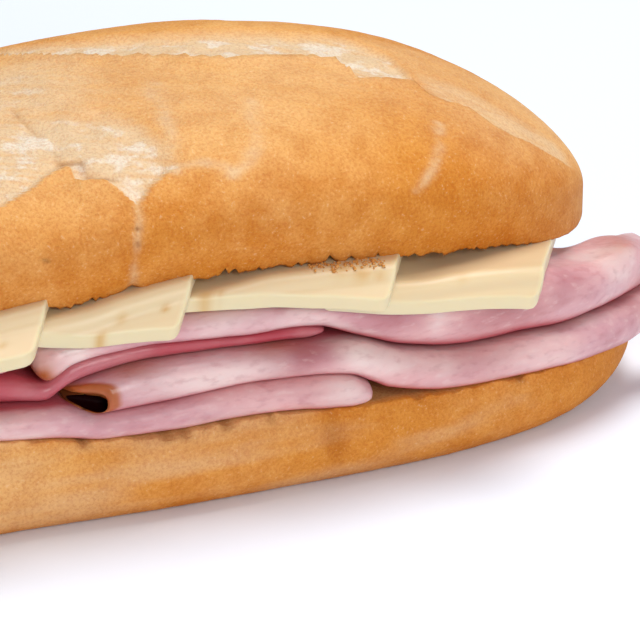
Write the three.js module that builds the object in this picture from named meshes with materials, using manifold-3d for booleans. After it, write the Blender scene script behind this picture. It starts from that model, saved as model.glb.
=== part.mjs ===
// Ham and cheese submarine sandwich: a scored baguette roll, cut in two halves,
// with six folded slices of ham and seven shingled slices of cheese between them.
// Units are millimetres, +Z is up, +X runs along the roll and -Y is the open front.
import * as THREE from 'three';
import { mergeVertices } from 'three/addons/utils/BufferGeometryUtils.js';
import Module from 'manifold-3d';

const wasm = await Module();
wasm.setup();

// Driving dimensions of the roll
const BOTTOM_HALF_LENGTH = 116;
const TOP_HALF_LENGTH = 109;
const TOP_CENTRE_X = -3;
const BREAD_HALF_WIDTH = 38;
const PLAN_POWER = 4;
const BASE_WIDTH_SHARE = 0.87;
const BULGE_SHARE = 0.62;
const SIDE_POWER = 2.4;
const RIM_TUCK = 1.2;
const TIP_LIFT = 11;
const REST_SHARE = 0.93;
const CROWN_POWER = 2.3;
const CROWN_DROOP = 8;
const UNDERCUT_ANGLE = 0.4;
const POLE_INSET = 0.5;
const CROWN_STATION_STEP = 5;

// Driving dimensions of the filling
const HAM_HALF_LENGTH = 122;
const HAM_HALF_WIDTH = 38.4;
const HAM_END_OFFSET = 20;
const HAM_MIN_WIDTH = 9.6;
const FOLD_RADIUS = 3.4;
const FOLD_END_RADIUS = 4.5;
const FOLD_END_SHARE = 0.25;
const CHEESE_THICKNESS = 2.6;
const CHEESE_DEPTH = 84;
const CHEESE_CLIMB = 6;
const CHEESE_CLEARANCE = 1.2;
const CHEESE_LEAN = 28;
const CHEESE_BEND_Y = -36;
const LAYER_GAP = 0.45;
const CHEESE_LIFT = CHEESE_THICKNESS + LAYER_GAP;
const CHEESE_SPACE = 2 * CHEESE_LIFT + LAYER_GAP;
const SINGLE_SPREAD = 30;
const STATION_STEP = 7;

// Height of the crown above its widest line, as [x, height] along the roll
const CROWN_HEIGHT = [[-112, 14], [-60, 15.5], [-20, 14.5], [15, 14.2], [45, 15.6], [75, 16.6], [106, 15.5]];

// Heights of the layer faces at the open front, as [x, z] along the roll
const BOTTOM_FACE = [
  [-116, 10], [-95, 13.5], [-60, 17], [-30, 19], [-10, 19.2], [10, 17], [40, 16.5],
  [55, 15], [75, 14], [90, 13], [107, 11], [121, 9.5],
];
const LOW_FOLD_FACE = [
  [-121, 17], [-100, 20], [-82, 24], [-60, 25], [-30, 26], [-10, 26], [-1, 25.7], [4, 24.4],
  [8, 22.3], [17, 22.6], [31, 23.2], [42, 22.9], [51, 21.6], [57, 18.5], [63, 16.4], [69, 15.4],
  [79, 14.8], [91, 13.8], [121, 11.5],
];
const MIDDLE_FOLD_FACE = [
  [-121, 17], [-82, 24], [-30, 26], [-3, 25.9], [2, 27.7], [7, 29.2], [12, 30.2], [24, 30.4],
  [35, 30.1], [42, 29.7], [49, 28.6], [54, 27.4], [60, 25.5], [67, 23.5], [75, 22.7], [91, 21.7],
  [100, 21.4], [121, 20],
];
const TOP_FOLD_FACE = [
  [-121, 21], [-100, 24], [-80, 28.5], [-40, 31], [-10, 31.4], [0, 30.8], [3, 31.8], [8, 32.8],
  [16, 33.2], [31, 32], [40, 32.1], [45, 31.4], [48, 30.4], [52, 28.7], [60, 25.9], [67, 23.9],
  [75, 23.1], [91, 22.1], [100, 21.8], [121, 20.4],
];
const SEAM_FACE = [
  [-116, 35], [-95, 37], [-60, 40.5], [-30, 42], [-10, 41.5], [4, 41.4], [12, 42.3], [34, 42.8],
  [45, 42.3], [53, 41.3], [67, 39.6], [79, 37.6], [90, 35.2], [104, 32.6], [121, 31.5],
];

// Rear edge of the folded ham, as [x, y]: near each end only a front corner sticks out
const HAM_REAR = [
  [-122, -8], [-108, 4], [-92, 26], [-78, 36], [74, 36], [84, 16], [93, -12], [106, -12.5], [114, -15], [122, -16],
];

// Scores in the crown as [x, arc], arc being millimetres of crust in front of the crest
const SCORES = [
  { from: [-106, -12], to: [-72, 14], halfWidth: 5 },
  { from: [-88, -12], to: [-36, 22], halfWidth: 6 },
  { from: [-50, -10], to: [14, 30], halfWidth: 7.5 },
  { from: [-12, -6], to: [66, 9], halfWidth: 5.5 },
  { from: [60, -8], to: [97, 6], halfWidth: 4.5 },
];
const SCORE_DEPTH = 1.5;
const LIP_HEIGHT = 1.3;
const LIP_SPREAD = 2.4;

// Folded ham slices, each between two faces, with how far its front lies behind the fullest one
const HAM_SLICES = [
  { name: 'ham_bottom_left', start: -118, end: -74, low: 'bottom', high: 'top', inset: 0.5 },
  { name: 'ham_bottom', start: -71, end: 55.5, low: 'bottom', high: 'low', inset: 0, endShare: 0.6 },
  { name: 'ham_inner', start: -70, end: 48, low: 'middle', high: 'top', inset: 3.2 },
  { name: 'ham_middle', start: 2, end: 121, low: 'low', high: 'middle', inset: -0.6, openEnd: true },
  { name: 'ham_top_left', start: -121, end: -6, low: 'top', high: 'ham', inset: 1.7 },
  { name: 'ham_top', start: -3, end: 117, low: 'top', high: 'ham', inset: 0.7 },
];

// Hollow in the open left end of the middle fold
const HOLLOW = { depth: 13, width: 11, height: 2.2, y: -31 };

// Cheese slices from left to right, by their front right corner in plan, how far their
// front edge turns towards the open front, and how steeply it hangs, both in degrees
const CHEESE_SLICES = [
  { corner: [-82, -38], width: 36, turn: 20, droop: 15, depth: 66 },
  { corner: [-60, -42], width: 34, turn: 13, droop: 25 },
  { corner: [-34, -43], width: 38, turn: 9, droop: 32 },
  { corner: [-5.6, -44], width: 39, turn: 12, droop: 46 },
  { corner: [19.5, -44], width: 39, turn: 19, droop: 42 },
  { corner: [56, -42.6], width: 48, turn: 10, droop: 30 },
  { corner: [81.5, -42], width: 38, turn: 10, droop: 26, depth: 32 },
];

// Smooth value at x through a list of keys, with cubic Hermite spans
function valueAt(keys, x) {
  const last = keys.length - 1;
  if (x <= keys[0][0]) {
    return keys[0][1];
  }
  if (x >= keys[last][0]) {
    return keys[last][1];
  }
  const i = keys.findIndex((key) => key[0] >= x) - 1;
  const slopeAt = (k) => {
    const before = keys[Math.max(k - 1, 0)];
    const after = keys[Math.min(k + 1, last)];
    return (after[1] - before[1]) / (after[0] - before[0]);
  };
  const span = keys[i + 1][0] - keys[i][0];
  const t = (x - keys[i][0]) / span;
  const rise = t * t * (3 - 2 * t);
  const leave = t * (1 - t) ** 2 * span * slopeAt(i);
  const arrive = t * t * (1 - t) * span * slopeAt(i + 1);
  return keys[i][1] * (1 - rise) + keys[i + 1][1] * rise + leave - arrive;
}

function smoothStep(low, high, value) {
  return THREE.MathUtils.smoothstep(value, low, high);
}

// Share of the full width that a rounded outline has at x
function planShare(x, centre, length) {
  const u = Math.min(Math.abs(x - centre) / length, 1);
  return Math.sqrt(1 - u ** PLAN_POWER);
}

// Stations from one end to the other, closer together where the ends curve in
function stations(start, end, step) {
  const count = Math.max(4, Math.round((end - start) / step));
  const middle = (start + end) / 2;
  const half = (end - start) / 2;
  return Array.from({ length: count + 1 }, (_, i) => {
    const t = (2 * i) / count - 1;
    return middle + half * (0.7 * t + 0.3 * Math.sin((t * Math.PI) / 2));
  });
}

function closedGeometry(points, index) {
  const geometry = new THREE.BufferGeometry();
  geometry.setAttribute('position', new THREE.Float32BufferAttribute(points.flat(), 3));
  geometry.setIndex(index);
  geometry.computeVertexNormals();
  return geometry;
}

// Closed body from rings of equal length, with one closing point at each end
function ringBody(rings, firstPoint, lastPoint) {
  const size = rings[0].length;
  const points = rings.flat();
  const first = points.push(firstPoint) - 1;
  const last = points.push(lastPoint) - 1;
  const lastRing = (rings.length - 1) * size;
  const index = [];
  for (let k = 0; k < size; k += 1) {
    const next = (k + 1) % size;
    for (let r = 0; r < lastRing; r += size) {
      index.push(r + k, r + next, r + k + size);
      index.push(r + next, r + next + size, r + k + size);
    }
    index.push(first, next, k);
    index.push(last, lastRing + k, lastRing + next);
  }
  return closedGeometry(points, index);
}

function namedMesh(name, geometry, material) {
  const mesh = new THREE.Mesh(geometry, material);
  mesh.name = name;
  return mesh;
}

// Relief of the scores on the crown: an opened groove with its front lip standing up
function scoreRelief(x, arc) {
  return SCORES.reduce((relief, { from, to, halfWidth }) => {
    const run = [to[0] - from[0], to[1] - from[1]];
    const length = Math.hypot(run[0], run[1]);
    const along = ((x - from[0]) * run[0] + (arc - from[1]) * run[1]) / length ** 2;
    const across = ((arc - from[1]) * run[0] - (x - from[0]) * run[1]) / length;
    const ends = smoothStep(-0.06, 0.12, along) * (1 - smoothStep(0.88, 1.06, along));
    const groove = 1 - smoothStep(0.55, 1, Math.abs(across) / halfWidth);
    const lip = Math.exp(-(((across - halfWidth - 1) / LIP_SPREAD) ** 2));
    return relief + ends * (LIP_HEIGHT * lip - SCORE_DEPTH * groove);
  }, 0);
}

// Lower half of the roll: a flat base, bulging crust sides and the cut face on top
function breadBottom(material) {
  const lowerSteps = 4;
  const upperSteps = 3;
  const faceSteps = 6;
  const end = BOTTOM_HALF_LENGTH - POLE_INSET;
  const rings = stations(-end, end, STATION_STEP).map((x) => {
    const share = planShare(x, 0, BOTTOM_HALF_LENGTH);
    const half = BREAD_HALF_WIDTH * share;
    const cut = valueAt(BOTTOM_FACE, x);
    const base = TIP_LIFT * Math.max(0, 1 - share / REST_SHARE) ** 1.6;
    const bulge = base + (cut - base) * BULGE_SHARE;
    const profile = [];
    for (let i = 0; i <= lowerSteps; i += 1) {
      const angle = ((i / lowerSteps) * Math.PI) / 2;
      const out = Math.sin(angle) ** (2 / SIDE_POWER);
      const drop = Math.cos(angle) ** (2 / SIDE_POWER);
      profile.push([half * (BASE_WIDTH_SHARE + (1 - BASE_WIDTH_SHARE) * out), bulge - (bulge - base) * drop]);
    }
    for (let i = 1; i <= upperSteps; i += 1) {
      const t = i / upperSteps;
      profile.push([half - RIM_TUCK * share * t * t, bulge + (cut - bulge) * t]);
    }
    const edge = profile[profile.length - 1][0];
    const rear = profile.map(([y, z]) => [x, y, z]);
    const front = profile.map(([y, z]) => [x, -y, z]).reverse();
    const face = Array.from({ length: faceSteps - 1 }, (_, i) => [x, edge * (1 - (2 * (i + 1)) / faceSteps), cut]);
    return [...rear, ...face, ...front];
  });
  const pole = (x) => [x, 0, (valueAt(BOTTOM_FACE, x) + TIP_LIFT) / 2];
  const geometry = ringBody(rings, pole(-BOTTOM_HALF_LENGTH), pole(BOTTOM_HALF_LENGTH));
  return namedMesh('bread_bottom', geometry, material);
}

// Upper half of the roll: the domed crown with its scores, over a flat cut face
function breadTop(material) {
  const domeSteps = 22;
  const faceSteps = 5;
  const start = TOP_CENTRE_X - TOP_HALF_LENGTH;
  const end = TOP_CENTRE_X + TOP_HALF_LENGTH;
  const rings = stations(start + POLE_INSET, end - POLE_INSET, CROWN_STATION_STEP).map((x) => {
    const share = planShare(x, TOP_CENTRE_X, TOP_HALF_LENGTH);
    const half = BREAD_HALF_WIDTH * share;
    const cut = valueAt(SEAM_FACE, x);
    const droop = CROWN_DROOP * Math.sqrt(share);
    const crown = valueAt(CROWN_HEIGHT, x) * share;
    const ring = [];
    for (let i = 0; i <= domeSteps; i += 1) {
      const angle = -UNDERCUT_ANGLE + (i / domeSteps) * (Math.PI + 2 * UNDERCUT_ANGLE);
      const across = Math.sign(Math.cos(angle)) * Math.abs(Math.cos(angle)) ** (2 / CROWN_POWER);
      const height = Math.abs(Math.sin(angle)) ** (2 / CROWN_POWER);
      const arc = BREAD_HALF_WIDTH * (Math.PI / 2 - angle);
      const relief = scoreRelief(x, arc) * share * smoothStep(0.1, 0.4, Math.sin(angle));
      const under = Math.sin(angle) / Math.sin(UNDERCUT_ANGLE);
      const z = Math.sin(angle) > 0 ? droop + crown * height : droop * (1 + under);
      ring.push([x, -half * across - relief * Math.cos(angle), cut + z + relief * Math.sin(angle)]);
    }
    const front = ring[0][1];
    const rear = ring[domeSteps][1];
    for (let i = 1; i < faceSteps; i += 1) {
      ring.push([x, THREE.MathUtils.lerp(rear, front, i / faceSteps), cut]);
    }
    return ring.reverse();
  });
  const pole = (x) => [x, 0, valueAt(SEAM_FACE, x) + CROWN_DROOP * 0.3];
  return namedMesh('bread_top', ringBody(rings, pole(start), pole(end)), material);
}

// Slow rise and fall of the faces between the folds, behind the open front
function foldWave(x, y) {
  const depth = smoothStep(-30, 20, y);
  return depth * (0.7 * Math.sin(x / 17 + 0.8) + 0.4 * Math.sin(x / 7.3));
}

// Rise of the ham to the right of the last lap, where a single slice of cheese lies on it
function singleSliceRise(x, y) {
  const { corner } = CHEESE_SLICES[CHEESE_SLICES.length - 2];
  const lapEdge = corner[0] + (y - corner[1]) * Math.tan(THREE.MathUtils.degToRad(CHEESE_LEAN));
  return CHEESE_LIFT * smoothStep(lapEdge, lapEdge + SINGLE_SPREAD, x);
}

// Heights of the faces that bound the ham slices
const LAYER_FACES = {
  bottom: (x) => valueAt(BOTTOM_FACE, x),
  low: (x, y) => valueAt(LOW_FOLD_FACE, x) + foldWave(x, y),
  middle: (x, y) => valueAt(MIDDLE_FOLD_FACE, x) + foldWave(x, y),
  top: (x, y) => valueAt(TOP_FOLD_FACE, x) + foldWave(x, y),
  ham: (x, y) => valueAt(SEAM_FACE, x) - CHEESE_SPACE + singleSliceRise(x, y),
};

// Stations that all the folds share, with extra ones in the rounded ends
function foldStations(start, end) {
  const ends = [0, 0.25, 1].map((share) => share * FOLD_END_RADIUS);
  const xs = [...ends.map((d) => start + d), ...ends.map((d) => end - d)];
  const first = Math.ceil((start + FOLD_END_RADIUS + 1) / STATION_STEP);
  for (let i = first; i * STATION_STEP < end - FOLD_END_RADIUS - 1; i += 1) {
    xs.push(i * STATION_STEP);
  }
  return xs.sort((a, b) => a - b);
}

function toManifold(geometry) {
  const bare = geometry.clone();
  bare.deleteAttribute('normal');
  bare.deleteAttribute('uv');
  const merged = mergeVertices(bare);
  return new wasm.Manifold(new wasm.Mesh({
    numProp: 3,
    vertProperties: new Float32Array(merged.attributes.position.array),
    triVerts: new Uint32Array(merged.index.array),
  }));
}

// The hollow that shows in the open end of a rolled fold: half an egg, pointing along the roll
function cutHollow(geometry, slice) {
  const middle = (valueAt(LOW_FOLD_FACE, slice.start) + valueAt(MIDDLE_FOLD_FACE, slice.start)) / 2;
  const egg = new THREE.SphereGeometry(1, 12, 8).scale(HOLLOW.depth, HOLLOW.width / 2, HOLLOW.height / 2);
  egg.translate(slice.start, HOLLOW.y, middle);
  const cut = toManifold(geometry).subtract(toManifold(egg)).getMesh();
  const result = new THREE.BufferGeometry();
  result.setAttribute('position', new THREE.BufferAttribute(cut.vertProperties, 3));
  result.setIndex(new THREE.BufferAttribute(cut.triVerts, 1));
  result.computeVertexNormals();
  return result;
}

// One folded slice of ham between two faces, rounded along its front, rear and ends
function foldedHam(slice, material) {
  const rim = [0, 0.5, 1, Math.PI / 2];
  const innerSteps = 4;
  const low = LAYER_FACES[slice.low];
  const high = LAYER_FACES[slice.high];
  const section = (x) => {
    const fromStart = slice.openEnd ? FOLD_END_RADIUS : x - slice.start;
    const fromEnd = Math.min(fromStart, slice.end - x, FOLD_END_RADIUS) / FOLD_END_RADIUS;
    const open = Math.sqrt(1 - (1 - fromEnd) ** 2);
    const swell = THREE.MathUtils.lerp(slice.endShare ?? FOLD_END_SHARE, 1, open);
    const half = HAM_HALF_WIDTH * planShare(x, 0, HAM_HALF_LENGTH);
    const shrink = (1 - open) * FOLD_END_RADIUS * 0.5;
    const front = slice.inset - Math.max(half, HAM_END_OFFSET) + shrink;
    const rear = Math.min(valueAt(HAM_REAR, x), half) - slice.inset - shrink;
    const back = Math.max(rear, front + HAM_MIN_WIDTH - shrink);
    const radius = Math.min(FOLD_RADIUS, 0.6 * (high(x, front) - low(x, front)));
    const rows = rim.map((angle) => [front + radius * (1 - Math.cos(angle)), Math.sin(angle)]);
    for (let i = 1; i < innerSteps; i += 1) {
      rows.push([THREE.MathUtils.lerp(front + radius, back - radius, i / innerSteps), 1]);
    }
    rows.push(...rim.map((angle) => [back - radius * (1 - Math.cos(angle)), Math.sin(angle)]).reverse());
    return rows.map(([y, share]) => {
      const bottom = low(x, y) + LAYER_GAP / 2;
      const top = high(x, y) - LAYER_GAP / 2;
      return { x, y, middle: (bottom + top) / 2, half: ((top - bottom) / 2) * share * swell };
    });
  };
  const ringOf = (rows) => {
    const upper = rows.map((row) => [row.x, row.y, row.middle + row.half]);
    const lower = rows.slice(1, -1).map((row) => [row.x, row.y, row.middle - row.half]);
    return [...upper, ...lower.reverse()].reverse();
  };
  const rings = foldStations(slice.start, slice.end).map((x) => ringOf(section(x)));
  const centre = (ring) => [0, 1, 2].map((k) => ring.reduce((sum, p) => sum + p[k], 0) / ring.length);
  const body = ringBody(rings, centre(rings[0]), centre(rings[rings.length - 1]));
  const geometry = slice.openEnd ? cutHollow(body, slice) : body;
  return namedMesh(slice.name, geometry, material);
}

// Corners of a cheese slice in plan: front left, front right, rear left, rear right
function cheeseCorners({ corner, width, turn: turnDegrees, depth = CHEESE_DEPTH }) {
  const turn = THREE.MathUtils.degToRad(turnDegrees);
  const lean = THREE.MathUtils.degToRad(CHEESE_LEAN);
  const right = new THREE.Vector2(...corner);
  const left = right.clone().add(new THREE.Vector2(-Math.cos(turn), Math.sin(turn)).multiplyScalar(width));
  const inward = new THREE.Vector2(Math.sin(lean), Math.cos(lean)).multiplyScalar(depth);
  return [left, right, left.clone().add(inward), right.clone().add(inward)];
}

// Share of a slice's front edge at which the next slice on its right starts, underneath it
function coveredFrom(slice, next) {
  const [frontLeft, frontRight, rearLeft] = cheeseCorners(slice);
  const inward = rearLeft.clone().sub(frontLeft);
  const offset = cheeseCorners(next)[0].sub(frontLeft);
  return offset.cross(inward) / frontRight.clone().sub(frontLeft).cross(inward);
}

// One slice of cheese: a flat sheet that climbs over the next slice on its right,
// and whose front hangs down over the ham
function cheeseSlice(slice, next, name, material) {
  const hangingRows = 3;
  const deep = 7;
  const [frontLeft, frontRight, rearLeft, rearRight] = cheeseCorners(slice);
  const landing = next ? coveredFrom(slice, next) - CHEESE_CLEARANCE / slice.width : 1;
  const takeOff = landing - CHEESE_CLIMB / slice.width;
  const columns = [0, takeOff * 0.5, takeOff, (takeOff + landing) / 2, landing, (landing + 1) / 2, 1];
  const across = columns.length - 1;
  const rowLength = columns.length;
  const size = rowLength * (deep + 1);
  const face = (thickness) => Array.from({ length: size }, (_, n) => {
    const s = columns[n % rowLength];
    const row = Math.floor(n / rowLength);
    const front = frontLeft.clone().lerp(frontRight, s);
    const rear = rearLeft.clone().lerp(rearRight, s);
    const bend = Math.max(CHEESE_BEND_Y, front.y + 1.5);
    const bendShare = (bend - front.y) / (rear.y - front.y);
    const t = row <= hangingRows
      ? (bendShare * row) / hangingRows
      : THREE.MathUtils.lerp(bendShare, 1, (row - hangingRows) / (deep - hangingRows));
    const place = front.clone().lerp(rear, t);
    const over = Math.max(0, CHEESE_BEND_Y - place.y);
    const turn = THREE.MathUtils.degToRad(slice.droop) * smoothStep(0, 4, over);
    const lift = next ? CHEESE_LIFT * smoothStep(takeOff, landing, s) : 0;
    const z = LAYER_FACES.ham(place.x, place.y) + LAYER_GAP + lift - over * Math.sin(turn);
    const y = place.y + over * (1 - Math.cos(turn));
    return [place.x, y - thickness * Math.sin(turn), z + thickness * Math.cos(turn)];
  });
  const index = [];
  const cell = (a, b, c, d) => index.push(a, b, c, b, d, c);
  for (let n = 0; n < size - rowLength; n += 1) {
    if (n % rowLength < across) {
      cell(n, n + 1, n + rowLength, n + rowLength + 1);
      cell(size + n + 1, size + n, size + n + rowLength + 1, size + n + rowLength);
    }
  }
  const wall = (a, b) => index.push(a, size + a, b, b, size + a, size + b);
  for (let i = 0; i < across; i += 1) {
    wall(i, i + 1);
    wall(deep * rowLength + i + 1, deep * rowLength + i);
  }
  for (let j = 0; j < deep; j += 1) {
    wall(j * rowLength + across, (j + 1) * rowLength + across);
    wall((j + 1) * rowLength, j * rowLength);
  }
  return namedMesh(name, closedGeometry([...face(CHEESE_THICKNESS), ...face(0)], index), material);
}

function buildSandwich() {
  const crust = new THREE.MeshStandardMaterial({ color: 0xe0a058, roughness: 0.75, metalness: 0 });
  const ham = new THREE.MeshStandardMaterial({ color: 0xdba9a8, roughness: 0.45, metalness: 0 });
  const cheese = new THREE.MeshStandardMaterial({ color: 0xecd9b0, roughness: 0.5, metalness: 0 });
  const sandwich = new THREE.Group();
  sandwich.add(breadBottom(crust), breadTop(crust));
  sandwich.add(...HAM_SLICES.map((slice) => foldedHam(slice, ham)));
  sandwich.add(...CHEESE_SLICES.map((slice, i) => (
    cheeseSlice(slice, CHEESE_SLICES[i + 1], `cheese_${i + 1}`, cheese)
  )));
  const box = new THREE.Box3().setFromObject(sandwich);
  const centre = box.getCenter(new THREE.Vector3());
  sandwich.children.forEach((mesh) => mesh.geometry.translate(-centre.x, -centre.y, -box.min.z));
  return sandwich;
}

export default buildSandwich();
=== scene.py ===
import itertools
import logging
import math
from dataclasses import dataclass, field
from enum import Enum

import bpy
import numpy as np
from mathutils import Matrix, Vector

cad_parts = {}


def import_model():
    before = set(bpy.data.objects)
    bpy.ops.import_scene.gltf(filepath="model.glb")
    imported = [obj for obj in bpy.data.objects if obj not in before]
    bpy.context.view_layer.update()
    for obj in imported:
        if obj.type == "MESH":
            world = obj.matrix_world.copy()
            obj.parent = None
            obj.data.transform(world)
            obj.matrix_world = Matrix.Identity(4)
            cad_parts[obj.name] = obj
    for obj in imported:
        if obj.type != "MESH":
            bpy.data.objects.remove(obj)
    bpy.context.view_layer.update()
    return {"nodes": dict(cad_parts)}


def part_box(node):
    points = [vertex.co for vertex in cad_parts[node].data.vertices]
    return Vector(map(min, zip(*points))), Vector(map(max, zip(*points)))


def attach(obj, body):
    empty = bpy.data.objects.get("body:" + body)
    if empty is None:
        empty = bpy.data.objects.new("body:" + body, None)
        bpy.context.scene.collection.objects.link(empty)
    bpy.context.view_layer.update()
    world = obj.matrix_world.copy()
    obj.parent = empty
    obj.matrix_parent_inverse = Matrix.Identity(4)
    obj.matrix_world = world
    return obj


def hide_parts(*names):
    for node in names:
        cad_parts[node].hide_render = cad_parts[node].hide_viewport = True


log = logging.getLogger("sandwich")

MM = 0.001
PHOTO_PIXELS = 640
Keys = tuple[tuple[float, float], ...]

# Heights in millimetres of the layer faces at the open front, as (x, z) along the roll
BOTTOM_FACE: Keys = (
    (-116, 9.4), (-95, 12.8), (-60, 16.2), (-30, 18.2), (-9, 18.5), (0.7, 17.3), (9, 16.1),
    (20, 15.7), (29, 15.9), (39, 15.7), (50, 14.5), (62, 13.9), (75, 13.2), (90, 12.2),
    (107, 10.4), (121, 9),
)
LOW_FOLD_FACE: Keys = (
    (-121, 16), (-100, 19), (-82, 23), (-60, 24), (-30, 24.6), (-9, 23.9), (-2, 23.5), (1.5, 23.2),
    (4, 22.4), (7, 21.1), (9.5, 21), (17.7, 21.4), (31.6, 22.2), (42, 21.8), (51, 20.8),
    (55.7, 18.4), (58, 17), (64, 15.3), (70, 14.3), (79.4, 13.7), (92, 12.7), (101, 12), (121, 10.4),
)
MIDDLE_FOLD_FACE: Keys = (
    (-121, 16), (-82, 23), (-30, 24.8), (-9, 24), (-4, 23.7), (-0.5, 23.6), (1.8, 24.9), (4.1, 26),
    (8.3, 27.1), (13.5, 28.1), (25.6, 28.3), (36, 28), (43, 27.5), (48.5, 27), (53.4, 26.3),
    (60.8, 23.4), (68.3, 21.4), (76, 20.6), (84, 20.5), (92, 19.7), (101, 19.7), (121, 18.9),
)
TOP_FOLD_FACE: Keys = (
    (-121, 20), (-100, 23), (-80, 27.3), (-40, 29.8), (-12, 30), (-6, 28.8), (-2.5, 27.2),
    (-0.9, 27), (1.2, 28.6), (3.3, 30.1), (8.1, 31.1), (16.6, 31.6), (24, 31.1), (32.2, 30.4),
    (40.9, 30.4), (46.3, 29.7), (48.9, 28.7), (53.4, 26.8), (60.8, 23.9), (68.3, 21.9), (76, 21.1),
    (84, 21), (92, 20.2), (101, 20.2), (112, 19.8), (121, 19.3),
)
SEAM_FACE: Keys = (
    (-116, 35), (-95, 37), (-60, 40.5), (-30, 42), (-10, 41.5), (4, 41.4), (12, 42.3), (34, 42.8),
    (45, 42.3), (53, 41.3), (67, 39.6), (79, 37.6), (90, 35.2), (104, 32.6), (121, 31.5),
)
BREAD_HALF_WIDTH = 38.0
LAYER_GAP = 0.45


class Tone(Enum):
    """Named shares, from 0 to 1, that a mesh carries for its finish to read."""

    # pale crust and flour, and painted light on the top and towards the left
    PALE = "pale"
    # toasted crust, and painted shade down the roll's sides and towards its right
    TOAST_AND_SHADE = "toast"
    CRUMB = "crumb"
    # dark cracks in the crust, and painted shade in the hollow of the ham's open end
    CRACK_AND_HOLLOW_SHADE = "crack"
    # fat in the ham, and painted light on two of its patches
    FAT_AND_PAINTED_LIGHT = "fat"
    LEAN = "lean"
    RIND = "rind"
    # painted shade: deep red where folds of ham are covered or pressed
    PAINTED_CREASE_SHADE = "painted_crease_shade"
    # painted light on the rounded cut edges of the cheese
    EDGE_PAINTED_LIGHT = "cut"
    SPOT = "spot"


def linear(hex_colour: str) -> tuple[float, float, float, float]:
    """Turns an sRGB hex colour such as "#e0a058" into a linear RGBA colour.

    Args:
        hex_colour: six hex digits after a hash sign.

    Returns:
        Linear red, green and blue, and an alpha of 1.
    """
    shares = [int(hex_colour[i:i + 2], 16) / 255 for i in (1, 3, 5)]
    lifted = [c / 12.92 if c <= 0.04045 else ((c + 0.055) / 1.055) ** 2.4 for c in shares]
    return (*lifted, 1.0)


def value_at(keys: Keys, x: np.ndarray) -> np.ndarray:
    """Reads a smooth curve through a list of points.

    Between two points it is a cubic Hermite span, with the slope at each point that of the
    line between its two neighbours. Beyond the ends it stays level.

    Args:
        keys: the points as (x, value), in rising x.
        x: places to read the curve at.

    Returns:
        The values, in the shape of x.
    """
    kx, kv = np.array(keys, float).T
    before = np.maximum(np.arange(len(kx)) - 1, 0)
    after = np.minimum(np.arange(len(kx)) + 1, len(kx) - 1)
    slope = (kv[after] - kv[before]) / (kx[after] - kx[before])
    inside = np.clip(x, kx[0], kx[-1])
    i = np.clip(np.searchsorted(kx, inside, side="left") - 1, 0, len(kx) - 2)
    span = kx[i + 1] - kx[i]
    t = (inside - kx[i]) / span
    rise = t * t * (3 - 2 * t)
    leave = t * (1 - t) ** 2 * span * slope[i]
    arrive = t * t * (1 - t) * span * slope[i + 1]
    return kv[i] * (1 - rise) + kv[i + 1] * rise + leave - arrive


def polyline_value(keys: Keys, x: np.ndarray) -> np.ndarray:
    """Reads a line that runs straight from each point to the next, level beyond the ends."""
    kx, kv = np.array(keys, float).T
    return np.interp(x, kx, kv)


def smooth_step(low: float, high: float, value: np.ndarray) -> np.ndarray:
    """Eases from 0 at low to 1 at high, as 3t squared less 2t cubed."""
    t = np.clip((value - low) / (high - low), 0, 1)
    return t * t * (3 - 2 * t)


def hump(value: np.ndarray, centre: float, width: float) -> np.ndarray:
    """A bell of height 1 around centre, the exponential of minus the squared offset."""
    return np.exp(-(((value - centre) / width) ** 2))


@dataclass(frozen=True)
class LatticeNoise:
    """Smooth seeded noise: eased blends of random values on a lattice that repeats."""

    seed: int
    cells: int = 32

    def at(self, points: np.ndarray, grain: float) -> np.ndarray:
        """Reads the noise.

        Each value is the blend of the eight lattice values around the point, with eased weights.

        Args:
            points: places in millimetres, with x, y and z in the last axis.
            grain: millimetres from one lattice value to the next.

        Returns:
            Values between -1 and 1, one for each point.
        """
        lattice = np.random.default_rng(self.seed).uniform(-1, 1, (self.cells,) * 3)
        place = points / grain
        base = np.floor(place).astype(int)
        part = place - base
        ease = part * part * (3 - 2 * part)
        total = np.zeros(points.shape[:-1])
        for corner in itertools.product((0, 1), repeat=3):
            weight = np.prod(np.where(corner, ease, 1 - ease), axis=-1)
            cell = (base + corner) % self.cells
            total += weight * lattice[cell[..., 0], cell[..., 1], cell[..., 2]]
        return total

    def layered(self, points: np.ndarray, grain: float, layers: int = 3) -> np.ndarray:
        """Sums layers of the noise, each with half the grain and half the strength of the last."""
        return sum(self.at(points + 7.3 * k, grain / 2 ** k) / 2 ** k for k in range(layers))


@dataclass(frozen=True)
class Ripple:
    """Seeded noise of one strength, whose largest grains have a size in millimetres."""

    seed: int
    strength: float
    grain: float
    layers: int = 2
    shift: float = 0.0

    def at(self, points: np.ndarray) -> np.ndarray:
        """Reads the noise at points in millimetres, moved by the shift so that no two are alike."""
        noise = LatticeNoise(self.seed).layered(points + self.shift, self.grain, self.layers)
        return self.strength * noise


def wrapped_quads(rings: int, size: int) -> np.ndarray:
    """Faces between closed rings of points.

    Args:
        rings: number of rings, stored one after another.
        size: number of points in each ring.

    Returns:
        One row of four point numbers for each face.
    """
    ring, k = np.meshgrid(np.arange(rings - 1), np.arange(size), indexing="ij")
    here = ring * size + k
    beside = ring * size + (k + 1) % size
    return np.stack([here, beside, beside + size, here + size], axis=-1).reshape(-1, 4)


def fan(pole: int, first: int, size: int) -> np.ndarray:
    """Triangles from one pole to a ring of points that starts at first, as rows of three."""
    k = np.arange(size)
    return np.stack([np.full(size, pole), first + (k + 1) % size, first + k], axis=-1)


def capped_faces(rings: int, size: int) -> list[np.ndarray]:
    """Faces of closed rings whose ends are shut by two poles, stored after the rings' points."""
    return [wrapped_quads(rings, size), fan(rings * size, 0, size),
            fan(rings * size + 1, (rings - 1) * size, size)[:, ::-1]]


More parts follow.
